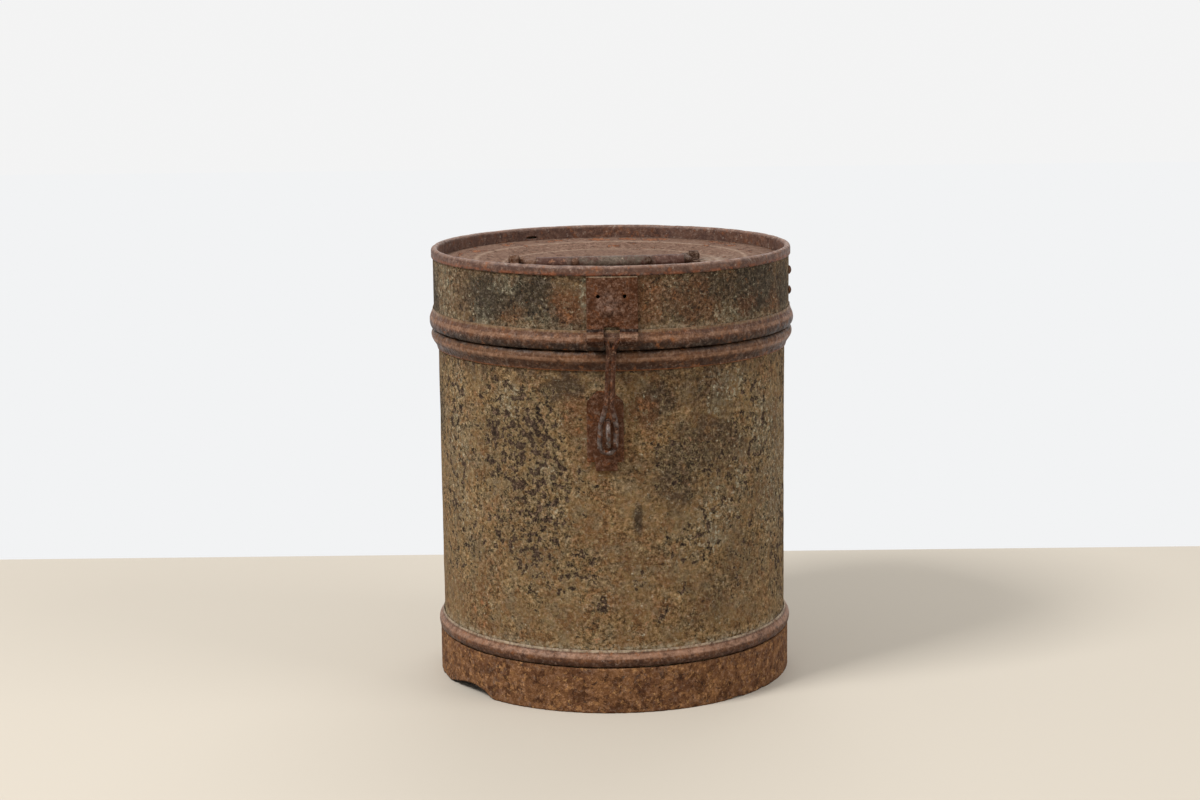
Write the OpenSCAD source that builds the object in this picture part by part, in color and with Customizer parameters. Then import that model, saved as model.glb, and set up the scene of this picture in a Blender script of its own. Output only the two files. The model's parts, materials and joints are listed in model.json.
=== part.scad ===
// Rusty iron canister: a round sheet-iron barrel with a hinged lid, a hasp that drops over a
// staple, and a wire handle that folds flat on the sunken lid top.
// Millimetres, +Z up, front towards -Y. The origin is on the barrel's axis, on the resting plane.

/* [Barrel] */
// Outside diameter of the barrel's wall
body_d = 230; // [185:1:280]
// Height of the joint between barrel and lid
joint_h = 233; // [190:1:280]
// Thickness of the rolled wall sheet
sheet_t = 1; // [0.8:0.1:1.2]
// How far the barrel's neck stands up inside the lid
neck_h = 17; // [10:1:18]
// Width of the folded seam up the barrel's wall
seam_w = 6; // [4:0.5:9]

/* [Foot] */
// Height of the foot band
foot_h = 29.5; // [20:0.5:45]
// Thickness of the foot band
foot_t = 2.5; // [1.5:0.1:3.5]
// How far the wall and the bottom plate reach down inside the foot band
foot_lap = 8; // [5:0.5:12]
// Height that rust has eaten out of the foot band's lower edge
bite_h = 6.2; // [3:0.1:10]

/* [Hoops] */
// Height of the hoop round the barrel's mouth
body_hoop_h = 13; // [11:0.5:15]
// How far that hoop stands out from the wall
body_hoop_out = 4.7; // [3:0.1:5]
// Height of the hoop over the joint of wall and foot
base_hoop_h = 11; // [8:0.5:15]
// How far that hoop stands out from the wall
base_hoop_out = 3.8; // [2.8:0.1:5]
// Height of the hoop on the lid's lower edge
lid_hoop_h = 13; // [11:0.5:14]
// How far that hoop stands out from the lid's skirt
lid_hoop_out = 3.1; // [2:0.1:3.3]

/* [Lid] */
// Height of the lid, from the joint to the top of its rim
lid_h = 52.7; // [50:0.1:75]
// Gap between the barrel's neck and the lid's skirt
lid_gap = 1.6; // [1.4:0.1:2.2]
// Thickness of the lid's pressed top
top_t = 0.9; // [0.7:0.1:1]
// Width of the folded rim, across
rim_w = 4.4; // [4.1:0.1:5]
// Height of the folded rim
rim_h = 6.2; // [4.5:0.1:8]
// Depth from the rim down to the flat margin of the top
margin_drop = 8.7; // [7.5:0.1:12]
// Depth from that margin down to the sunken centre
dish_drop = 3.3; // [1:0.1:6]
// Outside diameter of the slope down to the centre
dish_outer_d = 178; // [160:1:185]
// Diameter of the sunken flat centre
dish_inner_d = 142; // [140:1:152]

/* [Hinge] */
// Width of the hinge's leaves
hinge_w = 32; // [26:1:38]
// Length of a leaf on the wall
hinge_leaf_l = 26; // [20:1:28]
// Thickness of the leaves
hinge_t = 1.3; // [1:0.1:1.6]
// Diameter of the hinge pin
hinge_pin_d = 3.8; // [3:0.1:4.5]
// Length of the middle knuckle
hinge_mid_l = 11; // [8:0.5:14]

/* [Hasp] */
// Width of the hasp plate
hasp_w = 31.8; // [28:0.2:38]
// Thickness of the hasp plate
hasp_t = 1.7; // [1.2:0.1:1.9]
// Height of the hasp's axis above the joint
hasp_axis_h = 8.1; // [7:0.1:9]
// Gap between the plate's two knuckles
knuckle_gap = 9.8; // [9:0.1:12]
// Bore of the rolled knuckles
knuckle_bore = 4.8; // [4.6:0.1:5.2]
// Wire of the hasp
hasp_wire_d = 3.2; // [2.8:0.1:3.4]
// Length of the hasp, from its axis to the end of its eye
hasp_l = 73.3; // [62:0.1:90]
// Width of the hasp's eye
eye_w = 13.2; // [12:0.1:16]
// Straight part of the eye's sides
eye_side_l = 11; // [9:0.5:16]
// How far the hasp leans to the left, in degrees
hasp_lean = 2.7; // [0:0.1:4]
// How far the hasp hangs in towards the wall, in degrees
hasp_tuck = 2.5; // [1:0.1:3]
// Diameter of the two open nail holes in the plate
nail_hole_d = 2.4; // [1.5:0.1:3.5]

/* [Staple] */
// Width of the staple's plate
staple_plate_w = 23; // [20:0.5:30]
// Height of the plate's straight sides
staple_plate_h = 38; // [30:0.5:45]
// Thickness of the plate
staple_plate_t = 1.4; // [1:0.1:2]
// Wire of the staple
staple_wire_d = 3; // [2.4:0.1:3.2]
// Height of the staple's bow
staple_h = 17; // [13:0.5:18]
// How far the staple stands out from the barrel's wall
staple_out = 17.6; // [15:0.1:22]

/* [Handle] */
// Length of the rolled grip
grip_l = 96; // [80:1:100]
// Outside diameter of the grip
grip_d = 8.4; // [7.8:0.1:10]
// Thickness of the grip's sheet
grip_t = 1; // [0.6:0.1:1.2]
// Wire of the handle
bail_d = 5; // [4.4:0.1:5.2]
// Distance from the handle's axis to the grip's centre line
bail_reach = 35; // [28:0.5:42]
// How far the handle is turned round from square to the front, in degrees
handle_turn = 6; // [0:0.5:8]
// Length of the clips that hold the handle's ends
saddle_l = 6; // [4:0.5:8]
// Thickness of the clips
saddle_t = 1.2; // [0.8:0.1:1.5]

/* [Rivets] */
// Diameter of the rivets' shanks
shank_d = 3; // [2:0.1:3.2]
// Diameter of a rivet's head
head_d = 6.4; // [5:0.1:7]
// Height of a rivet's head
head_h = 1.8; // [1:0.1:1.9]

/* [Hidden] */
$fn = 96;

// Clearances
seat = 0.15;       // between sheets that are wrapped on one another
lid_rest = 0.3;    // between the two hoops where the lid sits
hoop_clear = 0.5;  // between a hoop and a knuckle or strap that passes it
pin_clear = 0.1;   // radial, hinge pin in its knuckles
hole_clear = 0.05; // radial, rivet shank or staple leg in its hole
wire_clear = 0.15; // handle wire in its clips
end_clear = 0.4;   // between knuckles, endwise

// Barrel
body_r = body_d / 2;
shell_in_r = body_r - sheet_t;
shell_bottom = foot_h - foot_lap;
floor_h = foot_h + 3;
neck_top = joint_h + neck_h;
body_hoop_z = joint_h - body_hoop_h;
base_hoop_z = foot_h + 0.4;
seam_out = 1.1;
seam_side = 150;   // direction of the barrel's seam, in degrees from the front

// Lid
lid_in_r = body_r + lid_gap;
lid_r = lid_in_r + sheet_t;
lid_bottom = joint_h + lid_rest;
rim_top = joint_h + lid_h;
rim_r = lid_r + seat + top_t;
margin_z = rim_top - margin_drop;
dish_z = margin_z - dish_drop;
lap_side = 84;     // direction of the skirt's riveted lap
lap_w = 14;
lap_t = 1;

// Hoops: edge thickness, and height of the round shoulder beside the crest
hoop_edge = 0.8;
hoop_shoulder = 4.6;

// Hinge, behind the barrel
hinge_bore = hinge_pin_d + 2 * pin_clear;
hinge_knuckle_r = hinge_bore / 2 + hinge_t;
hinge_y = max(body_r + body_hoop_out, lid_r + lid_hoop_out) + hoop_clear + hinge_knuckle_r;
hinge_lid_bend = joint_h + lid_hoop_h + 4;
hinge_body_bend = joint_h - body_hoop_h - 4;
hinge_turn_h = hoop_shoulder + 3;

// Hasp, on the lid's front
hasp_z = joint_h + hasp_axis_h;
knuckle_r = knuckle_bore / 2 + hasp_t;
hasp_y = lid_r + lid_hoop_out * 0.9 + knuckle_r;
hasp_bend = joint_h + lid_hoop_h + 2;
hasp_x = -0.5;
hasp_rivet_x = -2.6;
hasp_rivet_z = joint_h + 25.2;
nail_x = [-8.6, 7.7];
nail_z = joint_h + 33.9;

// Hasp loop, from the end of its eye up
leg_x = hasp_wire_d / 2 + 0.02;
eye_r = (eye_w - hasp_wire_d) / 2;
neck_turn = 14;
neck_r = 10;
neck_run = (eye_r - leg_x - 2 * neck_r * (1 - cos(neck_turn))) / sin(neck_turn);
neck_rise = 2 * neck_r * sin(neck_turn) + neck_run * cos(neck_turn);
spread_turn = 22;
spread_r = 8;
spread_run = 3;
end_r = 2.4;
spread_rise = spread_r * sin(spread_turn) + spread_run * cos(spread_turn)
    + end_r * (1 - sin(spread_turn));
spread_out = leg_x + spread_r * (1 - cos(spread_turn)) + spread_run * sin(spread_turn)
    + end_r * cos(spread_turn);
hasp_drop = hasp_l - hasp_wire_d / 2;
leg_run = hasp_drop - eye_r - eye_side_l - neck_rise - spread_rise;
trunnion_run = (hasp_w - knuckle_gap) / 2 + knuckle_gap / 2 - spread_out;

// Staple, centred in the hasp's eye
staple_z = hasp_z - hasp_drop + eye_r + 5.8 + hasp_wire_d / 2;
staple_x = hasp_x - (hasp_z - staple_z) * sin(hasp_lean);
bow_r = (staple_h - staple_wire_d) / 2;
staple_plate_x = -5;
staple_plate_z = staple_z - 19;
staple_peak = 7;
tab_w = 13.6;
tab_h = 5.8;
tab_rivet = [staple_plate_x + 0.8, staple_plate_z - 1];
clinch_r = 2;
clinch_l = 4;

// Handle, on the sunken centre of the lid's top
handle_x = -4.2;
handle_y = -2.2;
bail_axis_z = dish_z + bail_d / 2 + wire_clear;
bail_bend_r = 3.7;
bail_arm_x = grip_l / 2 + 0.5 + bail_bend_r;
saddle_x = bail_arm_x + bail_bend_r + 0.8;
grip_lift = grip_d / 2 + 0.1 - (bail_d / 2 + wire_clear);
bail_lie = asin(grip_lift / bail_reach);
saddle_foot = 7.5;
saddle_rivet_y = bail_d / 2 + wire_clear + saddle_t + saddle_foot / 2;
small_shank_d = 2;
small_head_d = 4.2;
small_head_h = 1.2;
grip_rivet_x = [-23, 24.5];
grip_rivet_tip = 75;   // how far round from the top the grip's rivets sit, in degrees
grip_head_d = 5;
grip_head_h = 1.5;

// Rivets: [direction from the front in degrees, height]
function toward(x, r) = asin(x / r);
hasp_spot = [[toward(hasp_rivet_x, lid_r), hasp_rivet_z]];
lap_spots = [[lap_side, joint_h + 22.4], [lap_side, joint_h + 35.7]];
tab_spot = [[toward(tab_rivet.x, body_r), tab_rivet.y]];
hinge_rivet_side = toward(hinge_w * 0.28, body_r);
hinge_lid_spots = [for (side = [-1, 1], step = [0.3, 0.75])
    [180 + side * hinge_rivet_side, hinge_lid_bend + step * hinge_leaf_l]];
hinge_body_spots = [for (side = [-1, 1], step = [0.3, 0.75])
    [180 + side * hinge_rivet_side, hinge_body_bend - step * hinge_leaf_l]];
tail_h = 0.8;
rivet_seat = 0.05;
joint_swell = 0.06;

// ---------- Shapes that repeat ----------

module ring(r_in, r_out, h) {
    difference() {
        cylinder(r = r_out, h = h);
        translate([0, 0, -1]) cylinder(r = r_in, h = h + 2);
    }
}

// Hoop of half-round iron, flat inside: a round shoulder below its crest, a slow flare above
module hoop(r, out, h) {
    swell = out - hoop_edge;
    shoulder = [for (a = [0:10:90]) [r + hoop_edge + swell * sin(a), hoop_shoulder * (1 - cos(a))]];
    flare_h = h - hoop_shoulder;
    flare = [for (i = [1:14]) [r + hoop_edge + swell * (1 + cos(180 * i / 14)) / 2,
        hoop_shoulder + flare_h * i / 14]];
    rotate_extrude() polygon(concat([[r, 0]], shoulder, flare, [[r, h]]));
}

// Places its children on the wall: their +Z points outwards
module on_wall(side, z, r) {
    rotate([0, 0, side]) translate([0, -r, z]) rotate([90, 0, 0]) children();
}

// Sheet wrapped round the barrel's axis and cut to a flat outline (x, z) seen from the front
module wrapped(r, t) {
    intersection() {
        ring(r, r + t, rim_top);
        rotate([90, 0, 0]) linear_extrude(2 * r) children();
    }
}

// Extrudes a profile (outward, z) across the front, from x0 to x1
module across(x0, x1) {
    translate([x0, 0, 0]) rotate([90, 0, 90]) linear_extrude(x1 - x0) mirror([1, 0]) children();
}

// Round-headed rivet: head on z = 0, shank and flat tail below
module rivet(d, head, h, grip) {
    ball_r = (head * head / 4 + h * h) / (2 * h);
    intersection() {
        cylinder(d = head, h = h);
        translate([0, 0, h - ball_r]) sphere(r = ball_r);
    }
    translate([0, 0, -grip - tail_h]) cylinder(d = d, h = grip + tail_h);
    translate([0, 0, -grip - tail_h]) cylinder(d = d + 1.6, h = tail_h);
}

module wall_rivets(spots, r_out, r_in) {
    for (spot = spots) on_wall(spot[0], spot[1], r_out + rivet_seat)
        rivet(shank_d, head_d, head_h, r_out - r_in + 2 * rivet_seat);
}

module wall_holes(spots) {
    for (spot = spots) on_wall(spot[0], spot[1], shell_in_r - 5)
        cylinder(d = shank_d + 2 * hole_clear, h = 20);
}

// Bent round wire, starting up +Z: each step is [straight run, turn towards +X, bend radius].
// A ball a hair fatter than the wire joins each run to its bend
module bent_wire(d, steps, i = 0) {
    run = steps[i][0];
    turn = steps[i][1];
    r = steps[i][2];
    way = turn > 0 ? 1 : -1;
    if (run > 0) cylinder(d = d, h = run);
    translate([0, 0, run]) {
        if (turn != 0) {
            sphere(d = d + joint_swell);
            translate([way * r, 0, 0]) rotate([90, 0, turn > 0 ? 180 : 0])
                rotate_extrude(angle = abs(turn)) translate([r, 0]) circle(d = d);
        }
        if (i + 1 < len(steps)) translate([way * r * (1 - cos(turn)), 0, r * sin(abs(turn))])
            rotate([0, turn, 0]) {
                sphere(d = d + joint_swell);
                bent_wire(d, steps, i + 1);
            }
    }
}

// Profile of a strap that leaves the wall at height bend, runs out past a hoop to height turn,
// and rolls into a knuckle; it comes from above the axis or from below it
module knuckle_strap(wall_r, t, bend, turn, axis_r, axis_z, bore) {
    way = bend > axis_z ? 1 : -1;
    inside = axis_r - bore / 2 - t;
    polygon([
        [wall_r, bend + way], [wall_r, bend], [inside, turn], [inside, axis_z],
        [inside + t, axis_z], [inside + t, turn], [wall_r + t, bend + way * 0.4],
        [wall_r + t, bend + way]
    ]);
    translate([axis_r, axis_z]) difference() {
        circle(r = bore / 2 + t);
        circle(d = bore);
        rotate(way * 118) translate([bore / 2 - 0.4, -0.25]) square([t + 1, 0.5]);
    }
}

// ---------- Barrel ----------

module body_shell() {
    color("#6b5a3c") difference() {
        union() {
            translate([0, 0, shell_bottom]) ring(shell_in_r, body_r, neck_top - shell_bottom);
            on_wall(seam_side, 0, 0) intersection() {
                rotate([-90, 0, 0]) ring(body_r - sheet_t / 2, body_r + seam_out, body_hoop_z - 0.5);
                translate([-seam_w / 2, base_hoop_z + base_hoop_h + 0.5, 0])
                    cube([seam_w, body_hoop_z - base_hoop_z - base_hoop_h - 1, 2 * body_r]);
            }
        }
        wall_holes(tab_spot);
        wall_holes(hinge_body_spots);
        staple_holes();
    }
}

module body_hoop() {
    color("#4a2f27") translate([0, 0, joint_h]) mirror([0, 0, 1])
        hoop(body_r + seat, body_hoop_out - seat, body_hoop_h);
}

module base_hoop() {
    color("#4a2f27") translate([0, 0, base_hoop_z])
        hoop(body_r + seat, base_hoop_out - seat, base_hoop_h);
}

// The bite in the lower edge starts near the left side and ends in a steep step
module foot_band() {
    bite_side = -57;
    bite = [
        [-40, -1], [-38, 1.6], [-30, 0.8], [-23, 0.7], [-15, 2.4], [-6, 4.6], [0, bite_h - 0.4],
        [9, bite_h + 0.3], [17, bite_h - 0.6], [22, bite_h - 1.8], [26, 2], [31, -1]
    ];
    pinholes = [[-72, 4.2, 2.6], [-70, 3, 1.9], [-67.5, 2.6, 1.6]];
    color("#54331f") difference() {
        ring(body_r + seat, body_r + seat + foot_t, foot_h);
        on_wall(bite_side, 0, 0) linear_extrude(2 * body_r) polygon(bite);
        for (hole = pinholes) on_wall(hole[0], hole[1], body_r - 5) cylinder(d = hole[2], h = 20);
    }
}

module base_plate() {
    plate_r = shell_in_r - seat;
    color("#5a4030") difference() {
        translate([0, 0, shell_bottom]) cylinder(r = plate_r, h = floor_h - shell_bottom);
        translate([0, 0, shell_bottom - 1])
            cylinder(r = plate_r - sheet_t, h = floor_h - shell_bottom - sheet_t + 1);
    }
}

// ---------- Staple ----------

module staple_holes() {
    for (z = [staple_z - bow_r, staple_z + bow_r])
        translate([staple_x, 0, z]) rotate([90, 0, 0])
            cylinder(d = staple_wire_d + 2 * hole_clear, h = body_r + 20);
}

module staple_plate() {
    half = staple_plate_w / 2;
    top = staple_plate_z + staple_plate_h;
    color("#4b2d22") difference() {
        wrapped(body_r + seat, staple_plate_t) translate([staple_plate_x, 0]) {
            polygon([
                [-half, staple_plate_z], [half, staple_plate_z], [half, top],
                [half * 0.4, top + staple_peak], [-half * 0.4, top + staple_peak], [-half, top]
            ]);
            translate([-tab_w / 2 + 0.6, staple_plate_z - tab_h]) square([tab_w, tab_h + 1]);
        }
        wall_holes(tab_spot);
        staple_holes();
    }
}

module staple() {
    inner_y = shell_in_r - seat - staple_wire_d / 2;
    leg = body_r + staple_out - staple_wire_d / 2 - bow_r - inner_y - clinch_r;
    color("#5b5552") translate([staple_x, -inner_y, staple_z - bow_r - clinch_r - clinch_l])
        rotate([0, 0, -90]) bent_wire(staple_wire_d,
            [[clinch_l, 90, clinch_r], [leg, -180, bow_r], [leg, 90, clinch_r], [clinch_l, 0, 0]]);
}

module staple_plate_rivet() {
    color("#4b2d22") wall_rivets(tab_spot, body_r + seat + staple_plate_t, shell_in_r);
}

// ---------- Hinge, behind ----------

module hinge_body_leaf() {
    color("#4a2f27") difference() {
        rotate([0, 0, 180]) {
            wrapped(body_r + seat, hinge_t)
                translate([-hinge_w / 2, hinge_body_bend - hinge_leaf_l]) square([hinge_w, hinge_leaf_l]);
            across(-hinge_mid_l / 2, hinge_mid_l / 2)
                knuckle_strap(body_r + seat, hinge_t, hinge_body_bend, joint_h - hinge_turn_h,
                    hinge_y, joint_h, hinge_bore);
        }
        wall_holes(hinge_body_spots);
    }
}

module hinge_body_rivets() {
    color("#4a2f27") wall_rivets(hinge_body_spots, body_r + seat + hinge_t, shell_in_r);
}

module hinge_pin() {
    half = hinge_w / 2 + 1;
    color("#56504c") translate([-half, hinge_y, joint_h]) rotate([0, 90, 0]) {
        cylinder(d = hinge_pin_d, h = 2 * half);
        translate([0, 0, -1.4]) cylinder(d = hinge_pin_d + 2, h = 1.6);
        translate([0, 0, 2 * half - 0.2]) cylinder(d = hinge_pin_d + 2, h = 1.6);
    }
}

module hinge_lid_leaf() {
    inner = hinge_mid_l / 2 + end_clear;
    color("#4a2f27") difference() {
        rotate([0, 0, 180]) {
            wrapped(lid_r + seat, hinge_t)
                translate([-hinge_w / 2, hinge_lid_bend]) square([hinge_w, hinge_leaf_l]);
            for (x = [-hinge_w / 2, inner]) across(x, x + hinge_w / 2 - inner)
                knuckle_strap(lid_r + seat, hinge_t, hinge_lid_bend, joint_h + hinge_turn_h,
                    hinge_y, joint_h, hinge_bore);
        }
        wall_holes(hinge_lid_spots);
    }
}

module hinge_lid_rivets() {
    color("#4a2f27") wall_rivets(hinge_lid_spots, lid_r + seat + hinge_t, lid_in_r);
}

// ---------- Lid ----------

module nail_holes() {
    for (x = nail_x) on_wall(toward(x, lid_r), nail_z, shell_in_r) cylinder(d = nail_hole_d, h = 20);
}

module lid_skirt() {
    skirt_top = rim_top - rim_w / 2;
    color("#5a4a33") difference() {
        union() {
            translate([0, 0, lid_bottom]) ring(lid_in_r, lid_r, skirt_top - lid_bottom);
            rotate([0, 0, lap_side]) intersection() {
                translate([0, 0, lid_bottom + 3])
                    ring(lid_in_r - lap_t, lid_in_r + sheet_t / 2, margin_z - lid_bottom - 6);
                translate([-lap_w / 2, -2 * lid_r, 0]) cube([lap_w, 2 * lid_r, rim_top]);
            }
        }
        wall_holes(lap_spots);
        wall_holes(hasp_spot);
        wall_holes(hinge_lid_spots);
        nail_holes();
    }
}

module lid_hoop() {
    color("#4a2f27") translate([0, 0, lid_bottom])
        hoop(lid_r + seat, lid_hoop_out - seat, lid_hoop_h - lid_rest);
}

// One pressed disc: sunken centre, slope, margin, wall up inside the skirt, and a fold over it
module lid_top() {
    fold_r = rim_w / 2;
    fold_x = rim_r - fold_r;
    inner_r = rim_r - rim_w;
    // a slit that rust has eaten through the upright wall, at the back
    slit_side = 209;
    slit = [[-4.5, 0.9], [-2, 2], [1.5, 2.4], [4.6, 1.6], [3, 0.8], [-1, 0.5]];
    color("#5c4236") difference() {
        rotate_extrude() {
            polygon([
                [0, dish_z - top_t], [dish_inner_d / 2, dish_z - top_t],
                [dish_outer_d / 2, margin_z - top_t], [inner_r + top_t, margin_z - top_t],
                [inner_r + top_t, rim_top - fold_r], [inner_r, rim_top - fold_r],
                [inner_r, margin_z], [dish_outer_d / 2, margin_z],
                [dish_inner_d / 2, dish_z], [0, dish_z]
            ]);
            translate([rim_r - top_t, rim_top - rim_h]) square([top_t, rim_h - fold_r]);
            translate([fold_x, rim_top - fold_r]) intersection() {
                difference() {
                    circle(r = fold_r);
                    circle(r = fold_r - top_t);
                }
                translate([-fold_r, 0]) square([2 * fold_r, fold_r]);
            }
        }
        on_wall(slit_side, margin_z, inner_r - 1) linear_extrude(top_t + 1.6) polygon(slit);
        on_handle() saddle_pair() saddle_rivet_places()
            translate([0, 0, -5]) cylinder(d = small_shank_d + 2 * hole_clear, h = 6);
    }
}

module lid_seam_rivets() {
    color("#4a2f27") wall_rivets(lap_spots, lid_r, lid_in_r - lap_t);
}

// ---------- Hasp ----------

module hasp_plate() {
    left = -hasp_w / 2;
    gap_left = hasp_x - knuckle_gap / 2;
    gap_right = hasp_x + knuckle_gap / 2;
    color("#512f24") difference() {
        union() {
            wrapped(lid_r + seat, hasp_t) translate([left, hasp_bend])
                square([hasp_w, rim_top - rim_h - 0.2 - hasp_bend]);
            for (span = [[left, gap_left], [gap_right, -left]]) across(span[0], span[1])
                knuckle_strap(lid_r + seat, hasp_t, hasp_bend, hasp_z + 0.7 * knuckle_r,
                    hasp_y, hasp_z, knuckle_bore);
        }
        wall_holes(hasp_spot);
        nail_holes();
    }
}

module hasp_rivet() {
    color("#512f24") wall_rivets(hasp_spot, lid_r + seat + hasp_t, lid_in_r);
}

// One wire: the eye, two legs side by side, and two ends turned out into the knuckles
module hasp_loop() {
    color("#5a3a2e") translate([hasp_x, -hasp_y, hasp_z]) rotate([hasp_tuck, hasp_lean, 0])
        translate([0, 0, -hasp_drop]) for (way = [0, 1]) mirror([way, 0, 0]) rotate([0, 90, 0])
            bent_wire(hasp_wire_d, [
                [0, -90, eye_r], [eye_side_l, -neck_turn, neck_r], [neck_run, neck_turn, neck_r],
                [leg_run, spread_turn, spread_r],
                [spread_run, 90 - spread_turn - (1 - 2 * way) * hasp_lean, end_r], [trunnion_run, 0, 0]
            ]);
}

// ---------- Handle ----------

module on_handle() {
    translate([handle_x, handle_y, dish_z]) rotate([0, 0, handle_turn]) children();
}

module saddle_pair() {
    for (way = [0, 1]) mirror([way, 0, 0]) translate([saddle_x, 0, 0]) children();
}

module saddle_rivet_places() {
    for (y = [-saddle_rivet_y, saddle_rivet_y]) translate([saddle_l / 2, y, 0]) children();
}

// Clip bent over the wire: an arch and two feet
module saddle() {
    arch_r = bail_d / 2 + wire_clear;
    half = arch_r + saddle_t;
    difference() {
        across(0, saddle_l) difference() {
            union() {
                translate([0, arch_r]) circle(r = half);
                translate([-half, 0]) square([2 * half, arch_r]);
                translate([-half - saddle_foot, 0]) square([2 * (half + saddle_foot), saddle_t]);
            }
            translate([0, arch_r]) circle(r = arch_r);
            translate([-arch_r, -1]) square([2 * arch_r, arch_r + 1]);
            translate([-half, -half]) square([2 * half, half]);
        }
        saddle_rivet_places() translate([0, 0, -1])
            cylinder(d = small_shank_d + 2 * hole_clear, h = saddle_t + 2);
    }
}

module handle_saddle_left() {
    color("#4a2f27") on_handle() mirror([1, 0, 0]) translate([saddle_x, 0, 0]) saddle();
}

module handle_saddle_right() {
    color("#4a2f27") on_handle() translate([saddle_x, 0, 0]) saddle();
}

module handle_saddle_rivets() {
    color("#4a2f27") on_handle() saddle_pair() saddle_rivet_places() translate([0, 0, saddle_t])
        rivet(small_shank_d, small_head_d, small_head_h, saddle_t + top_t);
}

// The handle lies folded to the front, its grip resting on the sunken centre
module on_bail() {
    translate([handle_x, handle_y, bail_axis_z]) rotate([0, 0, handle_turn])
        rotate([-bail_lie, 0, 0]) children();
}

module handle_bail() {
    color("#4f3b33") on_bail() translate([0, -bail_reach, 0]) for (way = [0, 1])
        mirror([way, 0, 0]) rotate([90, 0, 0]) rotate([0, 90, 0]) bent_wire(bail_d, [
            [grip_l / 2 + 0.5, 90, bail_bend_r],
            [bail_reach - 2 * bail_bend_r, -90, bail_bend_r], [saddle_l + 1.6, 0, 0]
        ]);
}

module handle_grip() {
    color("#4d4138") on_bail() translate([-grip_l / 2, -bail_reach, 0]) rotate([0, 90, 0])
        difference() {
            cylinder(d = grip_d, h = grip_l);
            translate([0, 0, -1]) cylinder(d = grip_d - 2 * grip_t, h = grip_l + 2);
            translate([0, -0.25, -1]) cube([grip_d, 0.5, grip_l + 2]);
            for (x = grip_rivet_x) translate([0, 0, grip_l / 2 + x]) rotate([0, -90, 0])
                rotate([grip_rivet_tip, 0, 0]) cylinder(d = small_shank_d + 2 * hole_clear, h = grip_d);
        }
}

module handle_grip_rivets() {
    color("#4f3b33") on_bail() for (x = grip_rivet_x) translate([x, -bail_reach, 0])
        rotate([grip_rivet_tip, 0, 0]) translate([0, 0, grip_d / 2]) {
            difference() {
                intersection() {
                    translate([0, 0, -1]) cylinder(d = grip_head_d, h = grip_head_h + 1);
                    translate([0, 0, -grip_head_h]) sphere(r = 2 * grip_head_h);
                }
                translate([-grip_head_d, 0, -grip_d / 2]) rotate([0, 90, 0])
                    cylinder(d = grip_d + 2 * rivet_seat, h = 2 * grip_head_d);
            }
            translate([0, 0, -grip_t - 0.1]) cylinder(d = small_shank_d, h = grip_t + 0.5);
        }
}

body_shell();
body_hoop();
base_hoop();
foot_band();
base_plate();
staple_plate();
staple();
staple_plate_rivet();
hinge_body_leaf();
hinge_body_rivets();
hinge_pin();
lid_skirt();
lid_hoop();
lid_top();
lid_seam_rivets();
hasp_plate();
hasp_rivet();
hinge_lid_leaf();
hinge_lid_rivets();
handle_saddle_left();
handle_saddle_right();
handle_saddle_rivets();
hasp_loop();
handle_bail();
handle_grip();
handle_grip_rivets();
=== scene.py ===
import json
import math
import random

import bpy
import numpy as np
from mathutils import Matrix, Vector, noise

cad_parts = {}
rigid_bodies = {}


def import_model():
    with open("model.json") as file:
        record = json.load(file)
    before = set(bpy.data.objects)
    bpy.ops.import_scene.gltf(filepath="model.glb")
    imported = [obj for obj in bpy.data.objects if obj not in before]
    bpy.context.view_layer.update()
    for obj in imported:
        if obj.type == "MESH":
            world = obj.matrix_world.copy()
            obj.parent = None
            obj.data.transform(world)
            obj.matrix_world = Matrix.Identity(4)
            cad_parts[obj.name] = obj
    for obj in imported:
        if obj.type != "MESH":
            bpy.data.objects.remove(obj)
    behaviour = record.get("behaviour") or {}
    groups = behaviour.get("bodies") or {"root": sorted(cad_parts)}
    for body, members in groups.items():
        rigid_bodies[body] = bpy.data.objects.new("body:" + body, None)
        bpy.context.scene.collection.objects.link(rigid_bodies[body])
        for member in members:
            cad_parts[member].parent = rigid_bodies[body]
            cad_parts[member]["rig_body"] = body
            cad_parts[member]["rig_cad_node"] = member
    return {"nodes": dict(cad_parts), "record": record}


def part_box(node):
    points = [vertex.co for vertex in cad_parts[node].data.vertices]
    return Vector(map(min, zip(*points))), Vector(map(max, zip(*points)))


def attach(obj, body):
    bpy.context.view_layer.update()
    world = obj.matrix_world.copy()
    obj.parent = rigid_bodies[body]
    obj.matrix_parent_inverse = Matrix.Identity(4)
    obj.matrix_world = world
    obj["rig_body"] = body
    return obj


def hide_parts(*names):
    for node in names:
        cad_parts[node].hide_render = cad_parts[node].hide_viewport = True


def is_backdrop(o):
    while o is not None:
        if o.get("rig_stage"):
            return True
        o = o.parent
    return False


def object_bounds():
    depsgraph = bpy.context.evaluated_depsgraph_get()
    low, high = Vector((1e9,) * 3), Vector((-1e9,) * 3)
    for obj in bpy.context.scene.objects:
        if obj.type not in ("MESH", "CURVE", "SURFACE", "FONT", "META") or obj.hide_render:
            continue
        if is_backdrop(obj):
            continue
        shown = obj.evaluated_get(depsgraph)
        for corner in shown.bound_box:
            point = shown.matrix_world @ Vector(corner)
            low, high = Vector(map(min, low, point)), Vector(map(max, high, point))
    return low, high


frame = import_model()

cad_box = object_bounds()


# Table, wall and light: a plain pale table top that ends behind the barrel, plain white beyond
# it, and broad soft lamps from the upper left and the right. The camera looks slightly down
# from the front.
def plug(tree, value, socket):
    """Gives a socket its value, or joins it to the node or socket that feeds it."""
    if isinstance(value, bpy.types.Node):
        value = next(out for out in value.outputs if out.enabled)
    if isinstance(value, bpy.types.NodeSocket):
        tree.links.new(value, socket)
    else:
        socket.default_value = value


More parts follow.
